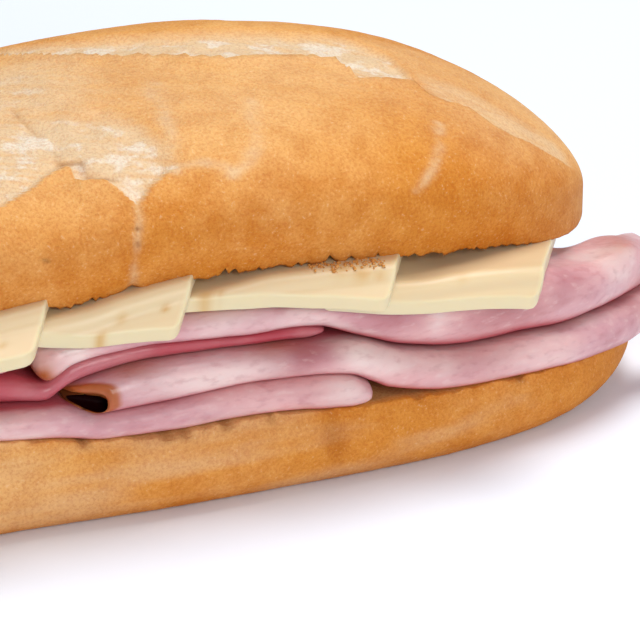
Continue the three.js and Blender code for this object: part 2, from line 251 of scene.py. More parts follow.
def add_node(tree: bpy.types.NodeTree, kind: str, inputs: dict | None = None, **settings) -> bpy.types.Node:
    """Adds a shader node with its settings and links.

    Args:
        tree: the material's node tree.
        kind: the node's type.
        inputs: values or output sockets, by the input's name or number.
        settings: properties of the node.

    Returns:
        The new node.
    """
    node = tree.nodes.new(kind)
    for name, value in settings.items():
        setattr(node, name, value)
    for name, value in (inputs or {}).items():
        if isinstance(value, bpy.types.NodeSocket):
            tree.links.new(value, node.inputs[name])
        else:
            node.inputs[name].default_value = value
    return node


@dataclass
class Piece:
    """One closed surface in the roll's own frame, in millimetres, ready to become an object."""

    name: str
    points: np.ndarray
    faces: list[np.ndarray]
    tones: dict[Tone, np.ndarray] = field(default_factory=dict)

    def outward_faces(self) -> list[list[int]]:
        """Turns the faces outward where the signed volume of the surface is negative.

        Returns:
            All the faces as lists of point numbers.
        """
        corners = np.concatenate([np.stack([f[:, 0], f[:, i], f[:, i + 1]], axis=-1)
                                  for f in self.faces for i in range(1, f.shape[1] - 1)])
        a, b, c = (self.points[corners[:, i]] for i in range(3))
        volume = np.einsum("ij,ij->i", a, np.cross(b, c)).sum()
        step = 1 if volume > 0 else -1
        return [row for f in self.faces for row in f[:, ::step].tolist()]

    def place(self, origin: np.ndarray, material: bpy.types.Material, slot: str,
              nodes: tuple[str, ...] = ()) -> bpy.types.Object:
        """Makes the object, in metres in the frame, and fastens it to the sandwich.

        Args:
            origin: place of the roll's own origin in the frame, in millimetres.
            material: the finish of the whole piece.
            slot: the record's material slot; not used.
            nodes: the solids of the frame that this piece stands for.

        Returns:
            The new object.
        """
        mesh = bpy.data.meshes.new(self.name)
        mesh.from_pydata(((self.points + origin) * MM).tolist(), [], self.outward_faces())
        mesh.polygons.foreach_set("use_smooth", np.ones(len(mesh.polygons), bool))
        for tone, values in self.tones.items():
            layer = mesh.attributes.new(tone.value, "FLOAT", "POINT")
            layer.data.foreach_set("value", np.clip(values, 0, 1).astype(np.float32).ravel())
        mesh.materials.append(material)
        mesh.update()
        made = bpy.data.objects.new(self.name, mesh)
        bpy.context.scene.collection.objects.link(made)
        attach(made, "root")
        if nodes:
            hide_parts(*nodes)
        log.info("%s: %d points, %d faces", self.name, len(mesh.vertices), len(mesh.polygons))
        return made


class Blend(Enum):
    """Ways to lay a colour over another, by Blender's names."""

    COVER = "MIX"
    TINT = "MULTIPLY"


class Ease(Enum):
    """Ways from one end of a span to the other, by Blender's names."""

    SMOOTH = "SMOOTHSTEP"
    STRAIGHT = "LINEAR"


@dataclass(frozen=True)
class Grain:
    """Noise in a finish, with grains of a real size in millimetres."""

    size_mm: float
    detail: float
    roughness: float = 0.5


@dataclass(frozen=True)
class Layer:
    """A colour that a finish lays over the ones before it.

    Its share is the product of what it names: a grain, whose span of noise becomes a share from
    one value to another, and a tone that the mesh carries, whole or by a span of it.
    """

    colour: str
    grain: str = ""
    span: tuple[float, float] = (0.0, 1.0)
    share: tuple[float, float] = (0.0, 1.0)
    tone: Tone | None = None
    tone_span: tuple[float, float] | None = None
    blend: Blend = Blend.COVER
    ease: Ease = Ease.SMOOTH


def layered_material(name: str, base: str, grains: dict[str, Grain], layers: tuple[Layer, ...],
                     along: float = 1.0
                     ) -> tuple[bpy.types.Material, dict[str, bpy.types.NodeSocket]]:
    """Makes a material whose colour is a base with layers laid over it, one after another.

    Args:
        name: the material's name.
        base: the colour beneath, in hex.
        grains: the noises that the layers name.
        layers: the colours over the base, in order.
        along: scale of the noises along the roll, where less than 1 draws them out.

    Returns:
        The material, and the value of each noise.
    """
    made = bpy.data.materials.new(name)
    made.use_nodes = True
    tree = made.node_tree
    place = add_node(tree, "ShaderNodeTexCoord").outputs["Object"]
    drawn = add_node(tree, "ShaderNodeMapping", {"Vector": place, "Scale": (along, 1.0, 1.0)})
    values = {key: add_node(tree, "ShaderNodeTexNoise", {
        "Vector": drawn.outputs["Vector"], "Scale": 1 / (grain.size_mm * MM),
        "Detail": grain.detail, "Roughness": grain.roughness,
    }).outputs["Fac"] for key, grain in grains.items()}
    colour = linear(base)
    for layer in layers:
        parts = []
        if layer.tone:
            carried = add_node(tree, "ShaderNodeAttribute", attribute_name=layer.tone.value)
            parts.append((carried.outputs["Fac"], layer.tone_span, (0.0, 1.0)))
        if layer.grain:
            parts.append((values[layer.grain], layer.span, layer.share))
        factor = None
        for value, span, share in parts:
            if span:
                value = add_node(tree, "ShaderNodeMapRange", {
                    "Value": value, "From Min": span[0], "From Max": span[1],
                    "To Min": share[0], "To Max": share[1],
                }, interpolation_type=layer.ease.value).outputs["Result"]
            if factor is not None:
                value = add_node(tree, "ShaderNodeMath", {0: factor, 1: value},
                                 operation="MULTIPLY").outputs[0]
            factor = value
        colour = add_node(tree, "ShaderNodeMix", {0: factor, 6: colour, 7: linear(layer.colour)},
                          data_type="RGBA", blend_type=layer.blend.value).outputs[2]
    tree.links.new(colour, tree.nodes["Principled BSDF"].inputs["Base Color"])
    return made, values


@dataclass(frozen=True)
class BakedCrust:
    """Wheat bread crust, oven baked: dry, matt and finely mottled from gold to toasted brown."""

    gold: str = "#f1b468"
    deep: str = "#e49c44"
    # also the colour of painted shade, where the toast tone carries it
    toasted: str = "#cf7b20"
    pale: str = "#e8cda6"
    flour: str = "#f4e6d0"
    crumb: str = "#d9a566"
    crack: str = "#9a5f2c"
    speckle_mm: float = 0.55
    blotch_mm: float = 4.5
    drift_mm: float = 38.0
    relief_mm: float = 0.3

    def material(self) -> bpy.types.Material:
        """Builds the crust: colour drifts from gold to deep, the mesh's tones lay flour, toast,
        crumb and cracks over it, and a speckle breaks all of them up. The toast tone also lays
        painted shade, and the pale tone painted light.

        Returns:
            The finish, whose pores and swells also stand out as relief.
        """
        grains = {
            "speckle": Grain(self.speckle_mm, 3.0, 0.7),
            "blotch": Grain(self.blotch_mm, 4.0, 0.55),
            "drift": Grain(self.drift_mm, 2.0, 0.55),
        }
        made, values = layered_material("baked_crust", self.gold, grains, (
            Layer(self.deep, "drift", (0.35, 0.65)),
            Layer(self.toasted, "blotch", (0.42, 0.75), (0, 0.3)),
            # the toast tone also lays painted shade here
            Layer(self.toasted, "blotch", (0.25, 0.7), (0.6, 1), Tone.TOAST_AND_SHADE),
            # the pale tone also lays painted light here
            Layer(self.pale, "speckle", (0.25, 0.7), (0.72, 1), Tone.PALE),
            Layer(self.flour, "blotch", (0.48, 0.62), (0, 0.8), Tone.PALE, (0.7, 1.0)),
            Layer(self.crumb, tone=Tone.CRUMB),
            Layer(self.crack, tone=Tone.CRACK_AND_HOLLOW_SHADE),
            Layer(self.toasted, "speckle", (0.42, 0.68), (0, 0.33), blend=Blend.TINT),
            Layer(self.flour, "speckle", (0.42, 0.24), (0, 0.25)),
        ))
        tree = made.node_tree
        surface = tree.nodes["Principled BSDF"]
        pores, swells = (add_node(tree, "ShaderNodeMapRange", {
            "Value": values[key], "From Min": 0.2, "From Max": 0.8, "To Min": low, "To Max": high,
        }, interpolation_type="SMOOTHSTEP").outputs["Result"]
            for key, low, high in (("speckle", 1.0, 0.0), ("blotch", 0.5, 1.0)))
        height = add_node(tree, "ShaderNodeMath", {0: pores, 1: swells}, operation="MULTIPLY")
        relief = add_node(tree, "ShaderNodeBump", {
            "Height": height.outputs[0], "Strength": 0.55, "Distance": self.relief_mm * MM})
        tree.links.new(relief.outputs["Normal"], surface.inputs["Normal"])
        surface.inputs["Roughness"].default_value = 0.66
        surface.inputs["IOR"].default_value = 1.45
        surface.inputs["Specular IOR Level"].default_value = 0.18
        surface.inputs["Subsurface Weight"].default_value = 0.08
        surface.inputs["Subsurface Radius"].default_value = (1.0, 0.5, 0.25)
        surface.inputs["Subsurface Scale"].default_value = 1.0 * MM
        return made


@dataclass(frozen=True)
class CookedHam:
    """Cooked pork ham, cured and sliced: moist and translucent pink, with fat, lean and rind."""

    pink: str = "#e0acaa"
    lilac: str = "#cd98a1"
    lean: str = "#ab5a60"
    # also the colour of painted light on two fat patches
    fat: str = "#efd6ce"
    rind: str = "#b05a1c"
    # painted shade in the creases between the folds
    painted_crease_shade: str = "#b83a48"
    # painted shade inside the hollow of the rolled open end
    hollow: str = "#180304"
    fibre_mm: float = 1.2
    muscle_mm: float = 9.0
    cloud_mm: float = 16.0
    relief_mm: float = 0.5
    drawn_out: float = 0.45

    def material(self) -> bpy.types.Material:
        """Builds the ham: pink clouds of fat and lean, painted shade in deeper red in the creases
        and in black in the open end's hollow, brown on the rind, under a soft moist gloss.

        Returns:
            The finish, which loses its gloss where the crack tone paints the hollow black as shade.
        """
        grains = {
            "fibre": Grain(self.fibre_mm, 3.0),
            "muscle": Grain(self.muscle_mm, 3.0),
            "cloud": Grain(self.cloud_mm, 2.0),
        }
        made, values = layered_material("cooked_ham", self.pink, grains, (
            Layer(self.lilac, "cloud", (0.42, 0.62), (0, 0.55)),
            Layer(self.fat, "muscle", (0.5, 0.7), (0, 0.65)),
            Layer(self.lean, "muscle", (0.48, 0.28), (0, 0.45)),
            # the fat tone also lays painted light on two patches
            Layer(self.fat, tone=Tone.FAT_AND_PAINTED_LIGHT),
            Layer(self.lean, tone=Tone.LEAN),
            Layer(self.lean, "fibre", (0.5, 0.75), (0, 0.25)),
            Layer(self.fat, "fibre", (0.45, 0.25), (0, 0.25)),
            # painted shade: deep red in the creases, and black in the hollow two layers on
            Layer(self.painted_crease_shade, tone=Tone.PAINTED_CREASE_SHADE),
            Layer(self.rind, tone=Tone.RIND),
            # painted shade: the hollow of the open end near black
            Layer(self.hollow, tone=Tone.CRACK_AND_HOLLOW_SHADE),
        ), self.drawn_out)
        tree = made.node_tree
        surface = tree.nodes["Principled BSDF"]
        relief = add_node(tree, "ShaderNodeBump", {
            "Height": values["fibre"], "Strength": 0.3, "Distance": self.relief_mm * MM})
        tree.links.new(relief.outputs["Normal"], surface.inputs["Normal"])
        dark = add_node(tree, "ShaderNodeAttribute", attribute_name=Tone.CRACK_AND_HOLLOW_SHADE.value)
        for socket, moist, dry in (("Coat Weight", 0.25, 0.0), ("Specular IOR Level", 0.5, 0.02)):
            gloss = add_node(tree, "ShaderNodeMapRange", {
                "Value": dark.outputs["Fac"], "From Min": 0.0, "From Max": 0.8,
                "To Min": moist, "To Max": dry,
            }, interpolation_type="SMOOTHSTEP")
            tree.links.new(gloss.outputs["Result"], surface.inputs[socket])
        surface.inputs["Roughness"].default_value = 0.36
        surface.inputs["IOR"].default_value = 1.4
        surface.inputs["Coat Roughness"].default_value = 0.22
        surface.inputs["Subsurface Weight"].default_value = 0.35
        surface.inputs["Subsurface Radius"].default_value = (1.0, 0.35, 0.3)
        surface.inputs["Subsurface Scale"].default_value = 1.2 * MM
        return made


@dataclass(frozen=True)
class SlicedCheese:
    """Young semi-hard cheese, machine sliced: smooth, waxy and creamy; its rounded cut edges are painted
    light.
    """

    cream: str = "#e2c89d"
    # paler colour of the faint streaks, and painted light on the rounded cut edges
    cut: str = "#e6d4aa"
    spot: str = "#cf9a45"
    vein_mm: float = 1.6
    relief_mm: float = 0.2
    drawn_out: float = 0.06

    def material(self) -> bpy.types.Material:
        """Builds the cheese: cream with faint streaks along the slice, a cut edge made paler by
        painted light, and small deeper spots, with a waxy sheen.

        Returns:
            The finish.
        """
        made, values = layered_material("sliced_cheese", self.cream, {"vein": Grain(self.vein_mm, 2.0)}, (
            Layer(self.cut, "vein", (0.4, 0.7), (0, 0.3), ease=Ease.STRAIGHT),
            # painted light: the rounded cut edges paler
            Layer(self.cut, tone=Tone.EDGE_PAINTED_LIGHT),
            Layer(self.spot, tone=Tone.SPOT),
        ), self.drawn_out)
        tree = made.node_tree
        surface = tree.nodes["Principled BSDF"]
        relief = add_node(tree, "ShaderNodeBump", {
            "Height": values["vein"], "Strength": 0.1, "Distance": self.relief_mm * MM})
        tree.links.new(relief.outputs["Normal"], surface.inputs["Normal"])
        surface.inputs["Roughness"].default_value = 0.38
        surface.inputs["IOR"].default_value = 1.45
        surface.inputs["Subsurface Weight"].default_value = 0.3
        surface.inputs["Subsurface Radius"].default_value = (1.0, 0.7, 0.4)
        surface.inputs["Subsurface Scale"].default_value = 2.0 * MM
        return made


def plan_share(x: np.ndarray, centre: float, half_length: float, power: float = 4.0) -> np.ndarray:
    """Share of the full width of a rounded outline at x: the root of 1 less a power of the offset."""
    return np.sqrt(1 - np.clip(np.abs(x - centre) / half_length, 0, 1) ** power)


def eased_stations(start: float, end: float, step: float) -> np.ndarray:
    """Stations from start to end about a step apart, closer together where the ends curve in."""
    t = np.linspace(-1, 1, max(8, round((end - start) / step)) + 1)
    return (start + end) / 2 + (end - start) / 2 * (0.7 * t + 0.3 * np.sin(t * np.pi / 2))


@dataclass(frozen=True)
class Score:
    """A cut that opened in the oven, as two lines on the crown, in (x, arc) millimetres.

    Arc is the way over the crust from the crest towards the open front.
    """

    front: Keys
    rear: Keys
    depth: float
    lip: float
    floury: float
    rear_fade: float = 2.5
    end_fade: float = 4.0

    def inside(self, x: np.ndarray, arc: np.ndarray,
               ragged: np.ndarray) -> tuple[np.ndarray, np.ndarray, np.ndarray]:
        """Where a point lies in the opened cut.

        Args:
            x: places along the roll.
            arc: places across it.
            ragged: millimetres by which the front edge is torn at each point.

        Returns:
            The share of the cut's presence along its length, the millimetres behind its lip, and
            the share of its presence towards the rear edge.
        """
        start, end = self.front[0][0], self.front[-1][0]
        along = smooth_step(start, start + 7, x) * (1 - smooth_step(end - self.end_fade, end, x))
        behind = polyline_value(self.front, x) + ragged - arc
        before_rear = arc - value_at(self.rear, x)
        return along, behind, smooth_step(-self.rear_fade, self.rear_fade, before_rear)


@dataclass(frozen=True)
class Mark:
    """A thin line on the crust, as points in (x, arc) millimetres: a crack, a pit or a streak."""

    path: Keys
    width: float
    tone: Tone
    strength: float
    depth: float = 0.0

    def share(self, x: np.ndarray, arc: np.ndarray) -> np.ndarray:
        """How strongly the mark shows: a bell over the distance to the nearest stretch of its path.

        Args:
            x: places along the roll.
            arc: places across it.

        Returns:
            Shares from 0 to 1, in the shape of x.
        """
        nearest = np.full(x.shape, np.inf)
        for (ax, ay), (bx, by) in zip(self.path[:-1], self.path[1:]):
            run = np.array([bx - ax, by - ay])
            t = np.clip(((x - ax) * run[0] + (arc - ay) * run[1]) / (run @ run), 0, 1)
            nearest = np.minimum(nearest, np.hypot(x - ax - t * run[0], arc - ay - t * run[1]))
        return hump(nearest, 0, self.width)


@dataclass(frozen=True)
class RollTop:
    """Upper half of the roll: a scored crown over a torn cut edge."""

    half_length: float = 109.0
    centre_x: float = -3.0
    crown_power: float = 2.3
    droop: float = 8.0
    undercut: float = 0.4
    pole_inset: float = 0.5
    station: float = 0.52
    dome_steps: int = 200
    front_crowding: float = 0.14
    face_steps: int = 14
    crown: Keys = ((-112, 14), (-60, 15.5), (-20, 14.5), (15, 14.2), (45, 15.6), (75, 16.6), (106, 15.5))
    blunt_span: tuple[float, float] = (80.0, 100.0)
    blunt_share: float = 0.9
    rim_drop: float = 0.9
    rim_zone: float = 0.14
    even_rim_span: tuple[float, float] = (82.0, 92.0)
    lip_fade: float = 3.2
    lip_edge: float = 0.5
    floor_edge: float = 0.7
    swells: tuple[Ripple, ...] = (Ripple(11, 0.35, 26), Ripple(11, 0.07, 2.2, shift=50))
    torn_front: Ripple = Ripple(11, 0.5, 3, shift=20)
    floor_lumps: Ripple = Ripple(11, 0.35, 3.2, shift=90)
    mark_stray: Ripple = Ripple(71, 0.9, 4)
    mark_breaks: Ripple = Ripple(71, 0.6, 2.6, shift=9)
    pale_clouds: Ripple = Ripple(29, 0.1, 30)
    flour_scuffs: Ripple = Ripple(29, 0.35, 1.1)
    toast_clouds: Ripple = Ripple(29, 0.25, 18, 3)
    saw_teeth: Ripple = Ripple(5, 0.55, 0.85)
    crumb_lumps: Ripple = Ripple(5, 0.5, 3)
    nicks: tuple[tuple[float, float, float], ...] = (
        (-70, 0.9, 1.2), (-52, 0.7, 0.9), (-31, 1.0, 1.0), (-0.5, 0.6, 0.6), (7, 0.5, 0.6),
        (14, 1.1, 1.4), (20, 0.6, 0.7), (29.8, 0.7, 1.1), (31.3, 0.5, 0.8), (48, 0.8, 0.8),
        (52, 0.6, 0.6), (57, 1.1, 0.5),
    )
    scores: tuple[Score, ...] = (
        Score(front=((-107, -8), (-95, 6), (-84, 14), (-74, 20)), rear=((-107, -16), (-88, -8), (-74, 8)),
              depth=1.2, lip=1.0, floury=0.85),
        Score(front=((-92, -8), (-72, 14), (-56, 28), (-46, 33)), rear=((-92, -18), (-68, -2), (-46, 14)),
              depth=1.3, lip=1.1, floury=0.9),
        Score(front=((-52, -6), (-36, 16), (-22, 30), (-14, 36.5), (-7, 37.2), (-4.2, 35.1), (-1.2, 32.4),
                     (2, 29), (4.4, 27.6), (6.4, 26.6), (6.8, 31.5), (8.8, 32.6), (11, 33.6), (12.8, 38.2),
                     (14, 41.9), (15, 44.8), (16, 43.5), (17.8, 40.2), (20.8, 36.5), (26, 33)),
              rear=((-52, -16), (-36, -10), (-15, -2), (2, 4), (12, 8), (19, 14), (26, 30)),
              depth=0.8, lip=0.6, floury=1.0, rear_fade=9.0, end_fade=6.0),
        Score(front=((-14, -34), (0, -22), (7.8, -16), (16.2, -8.6), (25, -3.6), (34, -0.2), (43.5, 2.5),
                     (54, 2.6), (60.2, 3.1), (61.4, 7.4), (61.6, 10.6), (65.2, 11.6), (71.5, 11.1),
                     (74, 15.4)),
              rear=((-14, -50), (0, -38), (8, -30), (18, -22), (28, -17), (38, -12.5), (48, -11),
                    (59, -9.8), (67, -8.8), (71.5, -3.2), (75.5, 4.2)),
              depth=1.5, lip=1.2, floury=1.0, rear_fade=3.5, end_fade=2.5),
        Score(front=((70, 11), (75, 16.8), (80.2, 18.8), (82.8, 24.2), (85.8, 26.7), (90, 29.5),
                     (96.2, 35.7), (101, 42.8)),
              rear=((70, 4), (78.5, 6.3), (83.8, 8.5), (88, 12.8), (93.2, 17), (99, 22.9)),
              depth=0.7, lip=0.3, floury=0.68, rear_fade=6.0),
    )
    marks: tuple[Mark, ...] = (
        Mark(((15, 45), (14.8, 50.3), (14, 57.5), (13.5, 64), (13.5, 74)), 0.8, Tone.PALE, 0.5, 0.25),
        Mark(((3.2, 4.8), (3.5, 12.5), (4.2, 16.2), (5.5, 20.6), (6, 26)), 0.45, Tone.CRACK_AND_HOLLOW_SHADE, 0.35, 0.3),
        Mark(((6, 24), (8.6, 26.2), (9.6, 30.4), (10.5, 32.3), (13.2, 34)), 0.5, Tone.CRACK_AND_HOLLOW_SHADE, 0.75, 0.4),
        Mark(((-1.0, 57.4), (-0.8, 58.2)), 0.6, Tone.CRACK_AND_HOLLOW_SHADE, 0.7, 0.5),
        Mark(((14.2, 53.6), (14.2, 54.2)), 0.6, Tone.CRACK_AND_HOLLOW_SHADE, 0.7, 0.5),
        Mark(((14, 58.8), (14, 59.6)), 0.6, Tone.CRACK_AND_HOLLOW_SHADE, 0.6, 0.4),
        Mark(((26.2, 7), (25.8, 13), (24.5, 22), (23.5, 28.7), (22.8, 35.4)), 1.6, Tone.PALE, 0.6, -0.15),
        Mark(((22.8, 35.4), (24, 33.4), (27.2, 34.6), (30, 37.6), (31.5, 41.5)), 1.1, Tone.PALE, 0.6, -0.1),
        Mark(((39.8, 18.5), (39, 25.4), (37.5, 32), (34.2, 38), (31.8, 40.5)), 1.5, Tone.PALE, 0.55, -0.12),
        Mark(((71, 27.7), (70.8, 33.4), (70, 37.2), (67, 44.6), (64, 51.7)), 1.0, Tone.PALE, 0.65, -0.15),
        Mark(((73, 14.6), (75.6, 17.4)), 0.7, Tone.CRACK_AND_HOLLOW_SHADE, 0.4, 0.2),
        Mark(((82.6, 23.6), (86.2, 27.2)), 0.7, Tone.CRACK_AND_HOLLOW_SHADE, 0.4, 0.2),
        Mark(((-60, 40), (-58, 52), (-60, 66)), 0.8, Tone.PALE, 0.4, 0.2),
        Mark(((-30, -22), (-8, -30), (20, -34)), 1.4, Tone.PALE, 0.35),
        Mark(((30, -40), (34, -52), (33, -64)), 1.0, Tone.PALE, 0.4, 0.2),
    )

    def stations(self) -> np.ndarray:
        """Places along the roll of the rings."""
        reach = self.half_length - self.pole_inset
        return eased_stations(self.centre_x - reach, self.centre_x + reach, self.station)

    def angles(self) -> np.ndarray:
        """Angles round the dome, from the front rim over the crest to the rear rim.

        Returns:
            Radians, closer together towards the front.
        """
        t = np.linspace(0, 1, self.dome_steps + 1)
        eased = t + self.front_crowding * np.sin(np.pi * t) * t
        eased = eased / eased[-1]
        return -self.undercut + eased * (np.pi + 2 * self.undercut)

    def relief(self, x: np.ndarray, arc: np.ndarray, points: np.ndarray) -> np.ndarray:
        """Height of the crust over the plain dome.

        Slow swells and a fine grain, and for each score a floor that falls towards its front,
        a sharp torn edge there, and a lip that stands up and dies away in front of it.

        Args:
            x: places along the roll.
            arc: places across it.
            points: the plain dome's points there.

        Returns:
            Millimetres, in the shape of x.
        """
        total = sum(ripple.at(points) for ripple in self.swells)
        ragged = self.torn_front.at(points)
        lumps = self.floor_lumps.at(points)
        for score in self.scores:
            along, behind, rear = score.inside(x, arc, ragged)
            floor = smooth_step(0.0, self.floor_edge, behind) * rear
            lip = np.where(behind < 0, np.exp(behind / self.lip_fade), np.exp(-behind / self.lip_edge))
            total = total + along * (score.lip * lip - (score.depth - lumps) * floor)
        wander, broken = self.wander(points)
        for mark in self.marks:
            total = total - mark.depth * broken * mark.share(x + wander, arc - wander)
        return total

    def wander(self, points: np.ndarray) -> tuple[np.ndarray, np.ndarray]:
        """Millimetres by which the marks stray sideways, and the share of them that shows."""
        return self.mark_stray.at(points), np.clip(0.8 + self.mark_breaks.at(points), 0, 1)

    def tones(self, x: np.ndarray, arc: np.ndarray, points: np.ndarray) -> dict[Tone, np.ndarray]:
        """Flour, toast, crumb and cracks over the crust.

        It is paler before the crest, as painted light on the top, and floury in the scores and on
        the bloom in the middle; it is darker down both sides and at the right tip, as painted shade,
        and toasted behind the crest.

        Args:
            x: places along the roll.
            arc: places across it.
            points: the plain dome's points there.

        Returns:
            Shares from 0 to 1, each in the shape of x.
        """
        ragged = self.torn_front.at(points)
        # Painted light: paler on the top before the crest
        crest = 0.24 * (1 - smooth_step(10, 50, arc)) * smooth_step(-16, -6, arc)
        bloom = 0.6 * (1 - smooth_step(6, 26, x)) * hump(arc, 0, 14)
        pale = crest + self.pale_clouds.at(points) + bloom
        for score in self.scores:
            along, behind, rear = score.inside(x, arc, ragged)
            band = smooth_step(-0.1, 0.5, behind) * rear
            pale = np.maximum(pale, score.floury * along * band)
        crack = np.zeros_like(x)
        wander, broken = self.wander(points)
        for mark in self.marks:
            share = mark.strength * broken * mark.share(x + wander, arc - wander)
            if mark.tone is Tone.PALE:
                pale = pale + share * (1 - pale)
            else:
                crack = np.maximum(crack, share)
        drawn_out = np.stack([(x + 0.5 * arc) / 6, arc - 0.5 * x, 0 * x], axis=-1)
        pale = pale * (1 - np.maximum(0, self.flour_scuffs.at(drawn_out)))
        # Painted shade: darker down both sides and at the right tip
        sides = 0.75 * smooth_step(22, 58, np.abs(arc))
        right_tip = 0.45 * hump(x, 82, 14)
        rear_slope = 0.25 * (1 - smooth_step(-22, -8, arc))
        toast = sides + right_tip + rear_slope + self.toast_clouds.at(points)
        return {
            Tone.PALE: pale,
            Tone.TOAST_AND_SHADE: toast * (1 - 0.8 * smooth_step(0.3, 0.8, pale)),
            Tone.CRUMB: np.zeros_like(x),
            Tone.CRACK_AND_HOLLOW_SHADE: crack,
        }

    def build(self) -> Piece:
        """Builds the crown and its cut face.

        A ring at x has half the plan's width to the sides and the crown's height on top, both
        along a superellipse, then tucks in under its widest line down to the cut.

        Returns:
            The closed surface.
        """
        x = self.stations()[:, None]
        angle = self.angles()[None, :]
        share = plan_share(x, self.centre_x, self.half_length)
        half = BREAD_HALF_WIDTH * share
        cut = value_at(SEAM_FACE, x)
        droop = self.droop * np.sqrt(share)
        crown = value_at(self.crown, x) * share
        over = np.where(angle > math.pi / 2, math.pi - angle, angle)
        tucked = np.abs(np.cos(angle)) ** (2 / self.crown_power)
        blunt = self.blunt_share * smooth_step(*self.blunt_span, x) * (over < 0)
        across = np.sign(np.cos(angle)) * (tucked + (1 - tucked) * blunt)
        height = np.abs(np.sin(angle)) ** (2 / self.crown_power)
        under = np.sin(over) / math.sin(self.undercut)
        z = np.where(np.sin(angle) > 0, droop + crown * height, droop * (1 + under))
        xs, angles = np.broadcast_arrays(x, angle)
        plain = np.stack([xs, -half * across, cut + z], axis=-1)
        arc = BREAD_HALF_WIDTH * (np.pi / 2 - angles)
        fade = share * smooth_step(0.0, 0.35, np.sin(angle))
        relief = self.relief(xs, arc, plain) * (0.25 + 0.75 * fade)
        at_rim = 1 - smooth_step(-self.undercut, -self.undercut + self.rim_zone, over)
        torn = at_rim * np.minimum(share * 2, 1)
        nicks = sum(high * hump(xs, at, wide) for at, wide, high in self.nicks)
        sawn = self.saw_teeth.at(plain * (1, 0.3, 0.3)) - nicks
        teeth = torn * (self.rim_drop + sawn * (1 - 0.8 * smooth_step(*self.even_rim_span, xs)))
        dome = plain + np.stack([np.zeros_like(relief), -relief * np.cos(angle),
                                 relief * np.sin(angle) - teeth], axis=-1)
        t = np.linspace(0, 1, self.face_steps + 1)[None, 1:-1, None]
        face = dome[:, -1:, :] * (1 - t) + dome[:, :1, :] * t
        face[..., 2] = cut + self.rim_drop + self.crumb_lumps.at(face)
        rings = np.concatenate([dome, face], axis=1)
        count, size = rings.shape[:2]
        ends = self.centre_x + np.array([-1, 1]) * self.half_length
        poles = np.stack([ends, 0 * ends, value_at(SEAM_FACE, ends) + self.droop * 0.3], axis=-1)
        tones = {}
        for tone, values in self.tones(xs, arc, plain).items():
            inner = np.ones if tone is Tone.CRUMB else np.zeros
            whole = np.concatenate([values, inner((count, size - values.shape[1]))], axis=1)
            tones[tone] = np.concatenate([whole.ravel(), np.zeros(2)])
        points = np.concatenate([rings.reshape(-1, 3), poles])
        return Piece("roll_top", points, capped_faces(count, size), tones)


